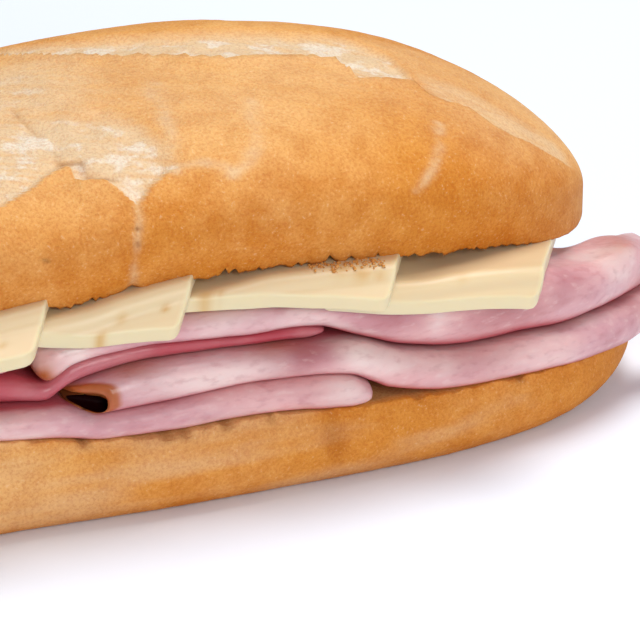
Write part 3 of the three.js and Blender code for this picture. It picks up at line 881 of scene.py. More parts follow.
@dataclass(frozen=True)
class RollBottom:
    """Lower half of the roll: a flat base, bulging crust sides and the cut face."""

    half_length: float = 116.0
    base_width_share: float = 0.83
    bulge_share: float = 0.62
    side_power: float = 2.4
    rim_tuck: float = 1.2
    rim_drop: float = 0.1
    face_drop: float = 0.2
    tip_lift: float = 11.0
    rest_share: float = 0.93
    pole_inset: float = 0.5
    station: float = 0.62
    side_steps: int = 40
    rim_steps: int = 20
    face_steps: int = 24
    base_steps: int = 16
    swells: tuple[Ripple, ...] = (Ripple(17, 0.45, 22), Ripple(17, 0.08, 2.0, shift=40))
    torn_rim: Ripple = Ripple(17, 0.5, 2.4, 3, shift=80)
    crumb_lumps: Ripple = Ripple(17, 0.35, 3)
    streaks: Ripple = Ripple(17, 1.0, 3.2, 3)
    toast_clouds: Ripple = Ripple(17, 0.2, 20, 3)
    pale_clouds: Ripple = Ripple(17, 0.15, 30)
    dent_place: tuple[float, float] = (48.5, 10.5)
    dent_reach: tuple[float, float] = (2.2, 5.0)
    dent_depth: float = 0.7
    pits: tuple[tuple[float, float, float], ...] = (
        (-62, 1.2, 0.8), (-28, 0.9, 0.7), (4.5, 1.0, 1.0), (19, 1.3, 0.8), (22, 0.8, 0.9),
        (29, 1.0, 0.8), (37, 0.7, 0.5), (84, 0.9, 0.5),
    )

    def dent(self, points: np.ndarray) -> np.ndarray:
        """Share, from 0 to 1, of the upright dent in the front crust."""
        return (hump(points[..., 0] + 0.15 * points[..., 2], self.dent_place[0] + 1.5, self.dent_reach[0])
                * hump(points[..., 2], self.dent_place[1], self.dent_reach[1]) * (points[..., 1] < 0))

    def side(self, direction: float, plain: np.ndarray, lifted: np.ndarray,
             torn: np.ndarray) -> np.ndarray:
        """Crust on one side, swollen outwards by slow and fine noise, with a torn rim.

        Args:
            direction: 1 at the rear and -1 at the front.
            plain: the smooth side's points.
            lifted: share of the swelling, which starts at nothing on the base.
            torn: share of the tearing, which is whole at the rim.

        Returns:
            The points, from the base's edge up to the rim.
        """
        swell = sum(ripple.at(plain) for ripple in self.swells) - self.dent_depth * self.dent(plain)
        pits = sum(deep * hump(plain[..., 0], at, wide) for at, wide, deep in self.pits)
        ragged = torn * (self.torn_rim.at(plain) - self.rim_drop - pits * (direction < 0))
        return plain + np.stack([0 * swell, direction * swell * lifted, ragged], axis=-1)

    def tones(self, rings: np.ndarray, height: np.ndarray) -> dict[Tone, np.ndarray]:
        """Toast, paleness and cracks over the crust.

        It is darker low down, darker towards the right as painted shade, paler towards the left as
        painted light, toasted in the dent, and streaked along the roll.

        Args:
            rings: the points, ring by ring.
            height: their shares of the way from the base to the cut face.

        Returns:
            Shares from 0 to 1, one for each point.
        """
        x = rings[..., 0]
        streaks = self.streaks.at(rings * (0.14, 1, 1))
        low_down = 0.8 * (1 - smooth_step(0.02, 0.3, height))
        # painted shade: darker towards the right
        to_the_right = 0.5 * smooth_step(10, 80, x)
        toast = (low_down + self.toast_clouds.at(rings) + 0.18 + 0.14 * np.maximum(0, streaks)
                 + to_the_right + 0.9 * self.dent(rings))
        at_rim = smooth_step(0.85, 0.98, height) * (rings[..., 1] < 0)
        pits = sum(hump(x, at, 1.3 * wide) for at, wide, _ in self.pits) * at_rim
        return {
            Tone.TOAST_AND_SHADE: toast,
            # painted light: paler towards the left
            Tone.PALE: 0.16 + self.pale_clouds.at(rings) - 0.002 * x - 0.25 * streaks,
            Tone.CRACK_AND_HOLLOW_SHADE: np.minimum(0.6 * pits + 0.3 * self.dent(rings), 0.8),
        }

    def build(self) -> Piece:
        """Builds the lower half.

        A ring at x goes from the base's edge out along a quarter superellipse to the bulge, up
        to the rim with a slight tuck, across the cut face, and down the other side alike.

        Returns:
            The closed surface.
        """
        reach = self.half_length - self.pole_inset
        x = eased_stations(-reach, reach, self.station)[:, None]
        share = plan_share(x, 0, self.half_length)
        half = BREAD_HALF_WIDTH * share
        cut = value_at(BOTTOM_FACE, x)
        base = self.tip_lift * np.maximum(0, 1 - share / self.rest_share) ** 1.6
        bulge = base + (cut - base) * self.bulge_share
        quarter = np.linspace(0, np.pi / 2, self.side_steps + 1)[None, :]
        out = np.sin(quarter) ** (2 / self.side_power)
        drop = np.cos(quarter) ** (2 / self.side_power)
        side_y = half * (self.base_width_share + (1 - self.base_width_share) * out)
        side_z = bulge - (bulge - base) * drop
        t = np.linspace(0, 1, self.rim_steps + 1)[None, 1:]
        y = np.concatenate([side_y, half - self.rim_tuck * share * t * t], axis=1)
        z = np.concatenate([side_z, bulge + (cut - bulge) * t], axis=1)
        xs = np.broadcast_to(x, y.shape)
        lifted = smooth_step(0.0, 0.35, np.concatenate([quarter / quarter[0, -1], 1 + t * 0], axis=1))
        torn = np.concatenate([0 * quarter, smooth_step(0.75, 1, t)], axis=1)
        rear = self.side(1.0, np.stack([xs, y, z], axis=-1), lifted, torn)
        front = self.side(-1.0, np.stack([xs, -y, z], axis=-1), lifted, torn)[:, ::-1]
        u = np.linspace(0, 1, self.face_steps + 1)[None, 1:-1, None]
        face = rear[:, -1:] * (1 - u) + front[:, :1] * u
        face[..., 2] = cut - self.face_drop + self.crumb_lumps.at(face)
        v = np.linspace(0, 1, self.base_steps + 1)[None, 1:-1, None]
        under = front[:, -1:] * (1 - v) + rear[:, :1] * v
        rings = np.concatenate([rear, face, front, under], axis=1)
        count, size = rings.shape[:2]
        ends = np.array([-self.half_length, self.half_length])
        poles = np.stack([ends, 0 * ends, (value_at(BOTTOM_FACE, ends) + self.tip_lift) / 2], axis=-1)
        tones = self.tones(rings, (rings[..., 2] - base) / np.maximum(cut - base, 1))
        tones[Tone.CRUMB] = np.zeros((count, size))
        tones[Tone.CRUMB][:, rear.shape[1]:rear.shape[1] + face.shape[1]] = 1
        points = np.concatenate([rings.reshape(-1, 3), poles])
        return Piece("roll_bottom", points, capped_faces(count, size),
                     {tone: np.concatenate([values.ravel(), np.zeros(2)]) for tone, values in tones.items()})


class Face(Enum):
    """Faces that bound the folded slices of ham."""

    BOTTOM = "bottom"
    LOW = "low"
    MIDDLE = "middle"
    TOP = "top"
    HAM = "ham"


@dataclass(frozen=True)
class CheeseSlice:
    """Place and hang of one slice of cheese, in millimetres and degrees."""

    corner: tuple[float, float]
    width: float
    turn: float
    droop: float
    depth: float = 84.0


@dataclass(frozen=True)
class CheeseSpot:
    """Small hole or darker speck: millimetres from the right edge and from the front edge."""

    number: int
    along: float
    inward: float
    reach: float
    strength: float


@dataclass(frozen=True)
class CheeseRow:
    """Shingled cheese slices: each climbs over the next on its right and hangs over the ham."""

    thickness: float = 2.6
    rest_gap: float = 0.1
    lean: float = 28.0
    bend_y: float = -36.0
    edge_tilt: float = 0.3
    edge_radius: float = 0.4
    corner_radius: float = 1.7
    rounding: tuple[float, ...] = (0.0, 0.06, 0.2, 0.45, 0.75, 1.0)
    width_steps: int = 70
    fine_depth: float = 14.0
    fine_step: float = 0.4
    coarse_steps: int = 50
    bend_length: float = 4.0
    painted_light_band: tuple[float, float] = (0.2, 0.7)
    spot_depth: float = 0.3
    single_spread: float = 30.0
    wave: Ripple = Ripple(53, 0.15, 9)
    spots: tuple[CheeseSpot, ...] = (
        CheeseSpot(5, 3.2, 3.9, 0.7, 0.7), CheeseSpot(5, 10.2, 2.6, 0.9, 0.45),
        CheeseSpot(5, 13, 0, 0.9, 0.7), CheeseSpot(6, 31, 0.3, 1.3, 0.6),
        CheeseSpot(6, 28.5, 0.8, 0.7, 0.45), CheeseSpot(6, 5.5, 4.8, 1.6, 0.55),
        CheeseSpot(6, 9, 5.2, 1.5, 0.45), CheeseSpot(6, 2.5, 4.6, 1.0, 0.4),
        CheeseSpot(4, 6, 3, 0.8, 0.4), CheeseSpot(3, 9, 2, 0.9, 0.6), CheeseSpot(1, 12, 2.5, 1.0, 0.5),
        CheeseSpot(7, 14, 3.5, 1.0, 0.25),
    )
    slices: tuple[CheeseSlice, ...] = (
        CheeseSlice((-82, -38), 36, 20, 15, 66),
        CheeseSlice((-60, -42), 34, 13, 25),
        CheeseSlice((-34, -43), 38, 9, 32),
        CheeseSlice((-5.4, -45), 39, 0, 39),
        CheeseSlice((19.5, -44.3), 39, 14, 53),
        CheeseSlice((55.8, -43.1), 48, 9.6, 41),
        CheeseSlice((83, -41.8), 38, 4.5, 50, 32),
    )

    @property
    def lift(self) -> float:
        """Rise of a slice that lies on another one."""
        return self.thickness + LAYER_GAP

    def single_rise(self, x: np.ndarray, y: np.ndarray) -> np.ndarray:
        """Rise of the ham to the right of the last lap, where one slice lies on it.

        Args:
            x: places along the roll.
            y: places across it.

        Returns:
            Millimetres, in the shape of x and y together.
        """
        corner = self.slices[-2].corner
        lap_edge = corner[0] + (y - corner[1]) * math.tan(math.radians(self.lean))
        return self.lift * smooth_step(0, self.single_spread, x - lap_edge)

    def ham_face(self, x: np.ndarray, y: np.ndarray) -> np.ndarray:
        """Height of the face that the cheese rests on."""
        return value_at(SEAM_FACE, x) - 2 * self.lift - LAYER_GAP + self.single_rise(x, y)

    def corners(self, piece: CheeseSlice) -> np.ndarray:
        """Corners of a slice in plan.

        Args:
            piece: the slice.

        Returns:
            Front left, front right, rear left and rear right, as rows of (x, y).
        """
        turn, lean = math.radians(piece.turn), math.radians(self.lean)
        right = np.array(piece.corner, float)
        left = right + piece.width * np.array([-math.cos(turn), math.sin(turn)])
        inward = piece.depth * np.array([math.sin(lean), math.cos(lean)])
        return np.array([left, right, left + inward, right + inward])

    def covered_from(self, piece: CheeseSlice, following: CheeseSlice) -> float:
        """Share of a slice's front edge at which the next slice on its right starts beneath it.

        Args:
            piece: the slice on top.
            following: the slice on its right.

        Returns:
            A share from 0 at the left corner to 1 at the right one.
        """
        left, right, rear, _ = self.corners(piece)
        inward = rear - left
        offset = self.corners(following)[0] - left
        run = right - left
        return (offset[0] * inward[1] - offset[1] * inward[0]) / (run[0] * inward[1] - run[1] * inward[0])

    def build(self, number: int) -> Piece:
        """Builds one slice.

        Shares s along the front edge and t from front to rear give a place in plan. There the
        slice lies on the ham at its left and rises evenly onto the next slice, and in front of
        the bend it turns down. Its thickness stands on its lower face, and its edges and corners
        are rounded off.

        Args:
            number: place in the row, from 1 at the left.

        Returns:
            The slice's closed surface.
        """
        piece = self.slices[number - 1]
        following = self.slices[number] if number < len(self.slices) else None
        left, right, rear_left, rear_right = self.corners(piece)
        round_off = np.array(self.rounding) * self.edge_radius
        inner = np.linspace(self.edge_radius, piece.width - self.edge_radius, self.width_steps)[1:-1]
        s = np.concatenate([round_off, inner, (piece.width - round_off)[::-1]]) / piece.width
        deep = piece.depth - self.edge_radius
        steps = np.concatenate([np.arange(self.edge_radius, self.fine_depth, self.fine_step)[1:],
                                np.linspace(self.fine_depth, deep, self.coarse_steps)[:-1]])
        t = np.concatenate([round_off, steps, (piece.depth - round_off)[::-1]]) / piece.depth
        s, t = np.meshgrid(s, t, indexing="xy")
        sideways = np.minimum(s, 1 - s) * piece.width
        lengthways = np.minimum(t, 1 - t) * piece.depth
        inset = np.minimum(sideways, lengthways)
        u = np.maximum(0, 1 - sideways / self.corner_radius)
        v = np.maximum(0, 1 - lengthways / self.corner_radius)
        s = s + np.sign(0.5 - s) * self.corner_radius / piece.width * u * (1 - np.sqrt(1 - v * v / 2))
        t = t + np.sign(0.5 - t) * self.corner_radius / piece.depth * v * (1 - np.sqrt(1 - u * u / 2))
        front = left + s[..., None] * (right - left)
        rear = rear_left + s[..., None] * (rear_right - rear_left)
        place = front + t[..., None] * (rear - front)
        over = np.maximum(0, self.bend_y - place[..., 1])
        turn = math.radians(piece.droop) * smooth_step(0, self.bend_length, over)
        lift = np.zeros_like(s)
        if following:
            lift = (self.thickness + self.rest_gap) * s / self.covered_from(piece, following)
        flat = np.stack([place[..., 0], place[..., 1], 0 * s], axis=-1)
        wave = self.wave.at(flat)
        x, y = place[..., 0], place[..., 1] + over * (1 - np.cos(turn)) + wave
        z = (self.ham_face(place[..., 0], place[..., 1]) + self.rest_gap + lift + wave
             + self.wave.strength - over * np.sin(turn))
        lost = self.edge_radius - np.sqrt(np.maximum(
            0, self.edge_radius ** 2 - np.maximum(0, self.edge_radius - inset) ** 2))
        spot = np.zeros_like(s)
        for mark in self.spots:
            if mark.number == number:
                away = np.hypot((1 - s) * piece.width - mark.along, t * piece.depth - mark.inward)
                spot = np.maximum(spot, mark.strength * hump(away, 0, mark.reach))

        def skin(height: np.ndarray) -> np.ndarray:
            """Points at a height over the lower face; the cut edge hangs more upright than the slice."""
            upright = self.edge_tilt * turn
            return np.stack([x, y - height * np.sin(upright), z + height * np.cos(upright)], axis=-1)

        upper, lower = skin(self.thickness - lost - self.spot_depth * spot), skin(lost)
        rows, columns = s.shape
        grid = np.arange(rows * columns).reshape(rows, columns)
        top = np.stack([grid[:-1, :-1], grid[:-1, 1:], grid[1:, 1:], grid[1:, :-1]], axis=-1).reshape(-1, 4)
        under = top[:, ::-1] + rows * columns
        loop = np.concatenate([grid[0, :-1], grid[:-1, -1], grid[-1, :0:-1], grid[:0:-1, 0]])
        ahead = np.roll(loop, -1)
        wall = np.stack([loop, loop + rows * columns, ahead + rows * columns, ahead], axis=-1)
        # Painted light: paler within a band along the rounded edges
        cut = np.concatenate([(1 - smooth_step(*self.painted_light_band, inset)).ravel()] * 2)
        points = np.concatenate([upper.reshape(-1, 3), lower.reshape(-1, 3)])
        return Piece(f"cheese_slice_{number}", points, [top, under, wall],
                     {Tone.EDGE_PAINTED_LIGHT: cut, Tone.SPOT: np.concatenate([spot.ravel()] * 2)})


@dataclass(frozen=True)
class Crumbs:
    """Crumbs of crust that fell on a slice of cheese, under the torn edge of the roll."""

    seed: int = 83
    count: int = 110
    span_x: tuple[float, float] = (44.0, 57.0)
    span_y: tuple[float, float] = (-37.8, -34.5)
    radii: tuple[float, float] = (0.1, 0.32)
    stray: float = 0.3
    squash: tuple[float, float] = (0.6, 1.3)
    rough: tuple[float, float] = (0.7, 1.15)
    rise: float = 0.4
    toast: float = 0.5
    crumb: float = 0.4
    rings: int = 6
    ring_points: int = 8

    def build(self, cheese: Piece) -> Piece:
        """Builds all the crumbs as one piece.

        Each is a small ball, squashed and roughened, around a point of the slice's upper skin.

        Args:
            cheese: the slice that they lie on, whose upper skin is the first half of its points.

        Returns:
            The crumbs.
        """
        draw = np.random.default_rng(self.seed)
        x, y = cheese.points[:len(cheese.points) // 2, :2].T
        near = np.flatnonzero((x > self.span_x[0]) & (x < self.span_x[1])
                              & (y > self.span_y[0]) & (y < self.span_y[1]))
        lying_on = cheese.points[draw.choice(near, self.count)]
        centres = lying_on + draw.uniform(-self.stray, self.stray, (self.count, 3)) * (1, 1, 0.2)
        down = np.linspace(0, np.pi, self.rings + 2)[1:-1, None]
        round_about = np.linspace(0, 2 * np.pi, self.ring_points, endpoint=False)[None, :]
        ball = np.stack([np.sin(down) * np.cos(round_about), np.sin(down) * np.sin(round_about),
                         np.cos(down) + 0 * round_about], axis=-1).reshape(-1, 3)
        ball = np.concatenate([ball, [[0, 0, 1], [0, 0, -1]]])
        radius = draw.uniform(*self.radii, (self.count, 1, 1))
        squash = draw.uniform(*self.squash, (self.count, 1, 3))
        rough = draw.uniform(*self.rough, (self.count, len(ball), 1))
        points = centres[:, None] + radius * (ball * squash * rough + np.array([0, 0, self.rise]))
        first = np.arange(self.count)[:, None, None] * len(ball)
        faces = [(shape[None] + first).reshape(-1, shape.shape[1])
                 for shape in capped_faces(self.rings, self.ring_points)]
        even = np.ones(self.count * len(ball))
        return Piece("crumbs", points.reshape(-1, 3), faces,
                     {Tone.TOAST_AND_SHADE: self.toast * even, Tone.CRUMB: self.crumb * even})


@dataclass(frozen=True)
class Patch:
    """Soft-edged patch of fat, lean or rind on the front of a slice of ham, around (x, z);
    two of the fat patches are painted light.
    """

    x: float
    z: float
    reach_x: float
    reach_z: float
    tone: Tone
    strength: float


@dataclass(frozen=True)
class HamSlice:
    """Stretch of one folded slice of ham, and the faces that it lies between."""

    name: str
    node: str
    start: float
    end: float
    low: Face
    high: Face
    inset: float
    end_share: float = 0.25
    open_end: bool = False
    shaded_from: float = 3.2
    # share of painted shade, in deep red, over the whole slice
    painted_shade: float = 0.0
    patches: tuple[Patch, ...] = ()


@dataclass(frozen=True)
class HamStack:
    """Folded slices of ham, one above another and end to end."""

    cheese: CheeseRow
    half_length: float = 122.0
    half_width: float = 38.4
    end_offset: float = 20.0
    least_width: float = 9.6
    fold_radius: float = 3.4
    end_radius: float = 4.5
    station: float = 0.6
    rim_steps: int = 18
    inner_steps: int = 26
    lobe: Keys = ((88, 0), (94, -0.9), (99, -0.6), (104, 0.3), (108, 0.6), (112, -0.6), (117, -3.2))
    gap: float = 0.16
    waves: tuple[tuple[float, float, float], ...] = ((0.7, 17, 0.8), (0.4, 7.3, 0.0))
    wave_span: tuple[float, float] = (-30.0, 20.0)
    patch_stray: float = 1.6
    rind_stray: float = 0.6
    slant: float = 7.0
    slant_span: tuple[float, float] = (-39.0, -33.4)
    rim_walls: tuple[float, float] = (0.04, 0.36)
    lip_swell: float = 0.5
    hollow_span: tuple[float, float] = (0.8, 5.0)
    hollow_steps: tuple[tuple[float, float], ...] = (
        (12, 0.1), (9, 0.5), (5, 0.8), (2, 0.95), (0.5, 1), (0, 1),
    )
    bare_span: tuple[float, float] = (85.0, 91.0)
    # most painted shade in a crease
    most_painted_shade: float = 0.92
    fibres: Ripple = Ripple(41, 1.0, 5, 3)
    swells: tuple[Ripple, ...] = (Ripple(41, 0.25, 11), Ripple(41, 0.05, 2.4))
    shrinkage: float = 0.15
    sag: Ripple = Ripple(41, 0.1, 6, shift=30)
    rear: Keys = (
        (-122, -8), (-108, 4), (-92, 26), (-78, 36), (74, 36), (84, 16), (93, -12), (106, -12.5),
        (114, -15), (122, -16),
    )
    slices: tuple[HamSlice, ...] = (
        HamSlice("ham_fold_low_left", "ham_bottom_left", -118, -74, Face.BOTTOM, Face.TOP, 0.5,
                 patches=(Patch(-95, 20, 7, 4, Tone.FAT_AND_PAINTED_LIGHT, 0.6), Patch(-80, 18, 4, 3, Tone.LEAN, 0.4))),
        HamSlice("ham_fold_low", "ham_bottom", -71, 55.5, Face.BOTTOM, Face.LOW, 0, 0.6, shaded_from=1.4,
                 patches=(Patch(50, 18.5, 4.5, 3.5, Tone.FAT_AND_PAINTED_LIGHT, 0.75), Patch(-12, 21, 6, 3, Tone.FAT_AND_PAINTED_LIGHT, 0.4),
                          Patch(26, 18, 8, 2, Tone.LEAN, 0.2), Patch(-45, 21, 9, 3, Tone.LEAN, 0.3))),
        # painted shade: the inner fold lies deep between the others and is dark red all over
        HamSlice("ham_fold_inner", "ham_inner", -70, 48, Face.MIDDLE, Face.TOP, 3.2, shaded_from=0.8,
                 painted_shade=0.78),
        HamSlice("ham_fold_middle", "ham_middle", 2, 121, Face.LOW, Face.MIDDLE, -0.6, 0.25, True,
                 patches=(Patch(43, 26.5, 4.5, 3.2, Tone.LEAN, 0.8),
                          Patch(51.8, 25, 3.8, 3.2, Tone.FAT_AND_PAINTED_LIGHT, 0.95),
                          Patch(12, 28.4, 5, 1.2, Tone.RIND, 0.6), Patch(85, 17, 9, 2.5, Tone.FAT_AND_PAINTED_LIGHT, 0.35),
                          # painted light: the fat patch at x 26 lightens the front where it lies in shade
                          Patch(39, 28.6, 5.5, 1.3, Tone.RIND, 0.6), Patch(26, 25.2, 13, 2.8, Tone.FAT_AND_PAINTED_LIGHT, 0.8),
                          Patch(72, 17.5, 5, 3, Tone.LEAN, 0.2))),
        HamSlice("ham_fold_top_left", "ham_top_left", -121, -6, Face.TOP, Face.HAM, 1.7,
                 patches=(Patch(-60, 33, 8, 3, Tone.FAT_AND_PAINTED_LIGHT, 0.5), Patch(-90, 27, 7, 4, Tone.LEAN, 0.3))),
        HamSlice("ham_fold_top", "ham_top", -3, 117, Face.TOP, Face.HAM, 0.7,
                 patches=(Patch(28, 34.5, 5.5, 3, Tone.FAT_AND_PAINTED_LIGHT, 0.6), Patch(67, 29, 2.4, 4, Tone.FAT_AND_PAINTED_LIGHT, 0.6),
                          # painted highlight: the fat patch at x 4 is a bright spot of light on the lobe
                          Patch(4, 32.8, 2.6, 2, Tone.FAT_AND_PAINTED_LIGHT, 0.8), Patch(79, 27, 8, 4, Tone.LEAN, 0.6),
                          Patch(57, 30, 7, 4, Tone.LEAN, 0.5), Patch(-2.0, 29.2, 2.0, 2.6, Tone.RIND, 1),
                          Patch(-0.4, 27.8, 2.0, 1.5, Tone.RIND, 1),
                          Patch(108, 30.2, 7, 1.7, Tone.RIND, 0.6))),
    )

    def face(self, which: Face, x: np.ndarray, y: np.ndarray) -> np.ndarray:
        """Height of a bounding face, with a slow wave behind the open front.

        Args:
            which: the face.
            x: places along the roll.
            y: places across it.

        Returns:
            Heights in millimetres.
        """
        if which is Face.BOTTOM:
            return value_at(BOTTOM_FACE, x) + 0 * y
        if which is Face.HAM:
            return self.cheese.ham_face(x, y) + value_at(self.lobe, x)
        keys = {Face.LOW: LOW_FOLD_FACE, Face.MIDDLE: MIDDLE_FOLD_FACE, Face.TOP: TOP_FOLD_FACE}[which]
        waves = sum(high * np.sin(x / long + shift) for high, long, shift in self.waves)
        wave = smooth_step(*self.wave_span, y) * waves
        return value_at(keys, x) + wave

    def outline(self, piece: HamSlice, x: np.ndarray, front: np.ndarray, back: np.ndarray,
                radius: np.ndarray, swell: np.ndarray, wall: tuple[float, float] = (0, 0)) -> np.ndarray:
        """Closed rings round a fold.

        A ring at x runs back over the upper face and forward under the lower one, and closes
        round the front and the rear along a quarter circle that is squashed to the fold's height.
        An open end is cut on the slant, so that its rings run forward along the roll.

        Args:
            piece: the slice.
            x: places along the roll, one to a ring.
            front: the rings' front ends.
            back: the rings' rear ends.
            radius: roundings of the front and the rear.
            swell: shares of the full height.
            wall: shares of the height kept clear of the lower and the upper face.

        Returns:
            The points, ring by ring.
        """
        angle = np.linspace(0, np.pi / 2, self.rim_steps + 1)[None, :]
        t = np.linspace(0, 1, self.inner_steps + 1)[None, 1:-1]
        y = np.concatenate([
            front + radius * (1 - np.cos(angle)),
            (front + radius) * (1 - t) + (back - radius) * t,
            (back - radius * (1 - np.cos(angle)))[:, ::-1],
        ], axis=1)
        height = np.concatenate([np.sin(angle), np.ones_like(t), np.sin(angle)[:, ::-1]], axis=1)
        xs = np.broadcast_to(x, y.shape)
        if piece.open_end:
            begun = smooth_step(0, 4 * self.slant, x - piece.start)
            xs = xs + self.slant * (1 - smooth_step(*self.slant_span, y)) * (1 - begun)
        low = self.face(piece.low, xs, y) + self.gap / 2
        high = self.face(piece.high, xs, y) - self.gap / 2
        low, high = low + wall[0] * (high - low), high - wall[1] * (high - low)
        middle, half_height = (low + high) / 2, (high - low) / 2 * height * swell
        upper = np.stack([xs, y, middle + half_height], axis=-1)
        lower = np.stack([xs, y, middle - half_height], axis=-1)[:, 1:-1][:, ::-1]
        return np.concatenate([upper, lower], axis=1)

    def hollow(self, piece: HamSlice, outer: np.ndarray, x: np.ndarray, front: np.ndarray) -> np.ndarray:
        """Rings of the hollow that the rolled open end leaves, from its bottom out to its lip.

        Args:
            piece: the slice.
            outer: the slice's outermost ring at the open end.
            x: the end's place along the roll.
            front: the end's front.

        Returns:
            The points, ring by ring.
        """
        rings = []
        middle = sum(self.hollow_span) / 2
        half = (self.hollow_span[1] - self.hollow_span[0]) / 2
        for deep, share in self.hollow_steps:
            near, far = front + middle - half * share, front + middle + half * share
            rings.append(self.outline(piece, x + deep, near, far, 0.45 * (far - near), share,
                                      self.rim_walls))
        lip = (outer + rings[-1]) / 2 - np.array([self.lip_swell, 0, 0])
        return np.concatenate([*rings, lip])

    def tones(self, piece: HamSlice, rings: np.ndarray, x: np.ndarray, front: np.ndarray,
              back: np.ndarray) -> dict[Tone, np.ndarray]:
        """Painted shade in deep red where a fold is covered or pressed, and in black in the open
        end's hollow; rind, fat and lean where its patches are, two fat ones being painted light.

        Args:
            piece: the slice.
            rings: its points, ring by ring; those before the first place along are its hollow's.
            x: places along the roll of the other rings.
            front: the front ends of those rings.
            back: their rear ends.

        Returns:
            Shares from 0 to 1, one for each point.
        """
        inner = len(rings) - len(x)
        depth = rings[..., 1] - np.concatenate([np.repeat(front[:1], inner, axis=0), front])
        behind = np.concatenate([np.repeat(back[:1], inner, axis=0), back]) - rings[..., 1]
        beside = np.minimum(rings[..., 0] - piece.start, piece.end - rings[..., 0])
        covered = np.minimum(depth, behind if piece.open_end else np.minimum(behind, beside))
        tones = {tone: np.zeros(rings.shape[:2]) for tone in
                 (Tone.PAINTED_CREASE_SHADE, Tone.FAT_AND_PAINTED_LIGHT, Tone.LEAN, Tone.RIND, Tone.CRACK_AND_HOLLOW_SHADE)}
        crown = self.rim_steps * 2 + self.inner_steps + 1
        fade = self.fibres.at(rings * (0.4, 1, 1))
        # Painted shade in deep red: on the covered parts of each face, and over the whole of a deep-set fold
        red = np.full(rings.shape[:2], piece.painted_shade) + 0.25 * piece.painted_shade * fade
        bare = smooth_step(*self.bare_span, rings[:, :crown, 0]) * (piece.high is Face.HAM)
        shaded = smooth_step(piece.shaded_from, piece.shaded_from + 2.4, covered[:, :crown])
        red[:, :crown] += (1 - bare) * 0.85 * shaded
        red[:, crown:] += 0.9 * smooth_step(0.3, 1.8, covered[:, crown:])
        red *= smooth_step(0, 3, behind)
        tones[Tone.PAINTED_CREASE_SHADE] = np.minimum(red, self.most_painted_shade)
        for patch in piece.patches:
            stray = (self.rind_stray if patch.tone is Tone.RIND else self.patch_stray) * fade
            share = (hump(rings[..., 0] + stray, patch.x, patch.reach_x)
                     * hump(rings[..., 2] + 0.5 * stray, patch.z, patch.reach_z)
                     * (1 - smooth_step(5, 9, covered)))
            tones[patch.tone] = np.maximum(tones[patch.tone], patch.strength * share)
        if inner:
            begun = np.concatenate([np.zeros((inner, 1)), x - piece.start])
            browned = 0.95 - smooth_step(0.2, 2.0, begun + 0.8 * fade)
            tones[Tone.RIND] = np.maximum(tones[Tone.RIND], browned)
            # Painted shade: the hollow inside the open end is black, its lip dimmed and its mouth a little
            # red
            tones[Tone.CRACK_AND_HOLLOW_SHADE][:inner + 2] = 0.35 * np.maximum(0, fade[:inner + 2])
            tones[Tone.CRACK_AND_HOLLOW_SHADE][:inner - 2] = 1
            tones[Tone.CRACK_AND_HOLLOW_SHADE][inner - 2] = 0.75
            tones[Tone.PAINTED_CREASE_SHADE][:inner + 3] = 0.3
        return tones

    def build(self, piece: HamSlice) -> Piece:
        """Builds one folded slice, rounded at its front, its rear and its ends.

        Args:
            piece: the slice.

        Returns:
            The slice's closed surface.
        """
        x = eased_stations(piece.start, piece.end, self.station)[:, None]
        from_start = self.end_radius if piece.open_end else x - piece.start
        from_end = np.minimum(np.minimum(from_start, piece.end - x), self.end_radius) / self.end_radius
        opened = np.sqrt(np.maximum(0, 1 - (1 - from_end) ** 2))
        swell = piece.end_share + (1 - piece.end_share) * opened
        half = self.half_width * plan_share(x, 0, self.half_length)
        shrink = (1 - opened) * self.end_radius * 0.5
        front = piece.inset - np.maximum(half, self.end_offset) + shrink
        rear = np.minimum(value_at(self.rear, x), half) - piece.inset - shrink
        back = np.maximum(rear, front + self.least_width - shrink)
        shifted = x
        if piece.open_end:
            shifted = x + self.slant * (1 - smooth_step(0, 4 * self.slant, x - piece.start))
        tall = self.face(piece.high, shifted, front) - self.face(piece.low, shifted, front)
        rings = self.outline(piece, x, front, back, np.minimum(self.fold_radius, 0.6 * tall), swell)
        if piece.open_end:
            rings = np.concatenate([self.hollow(piece, rings[:1], x[:1], front[:1]), rings])
        tones = self.tones(piece, rings, x, front, back)
        rings[..., 1] += sum(ripple.at(rings) for ripple in self.swells) - self.shrinkage
        rings[..., 2] += self.sag.at(rings)
        points = np.concatenate([rings.reshape(-1, 3), rings[[0, -1]].mean(axis=1)])
        return Piece(piece.name, points, capped_faces(*rings.shape[:2]),
                     {tone: np.concatenate([values.ravel(), values[[0, -1], 0]])
                      for tone, values in tones.items()})


@dataclass(frozen=True)
class SoftLight:
    """Square light, with its place and side in metres and its power in watts."""

    name: str
    place: tuple[float, float, float]
    side: float
    power: float


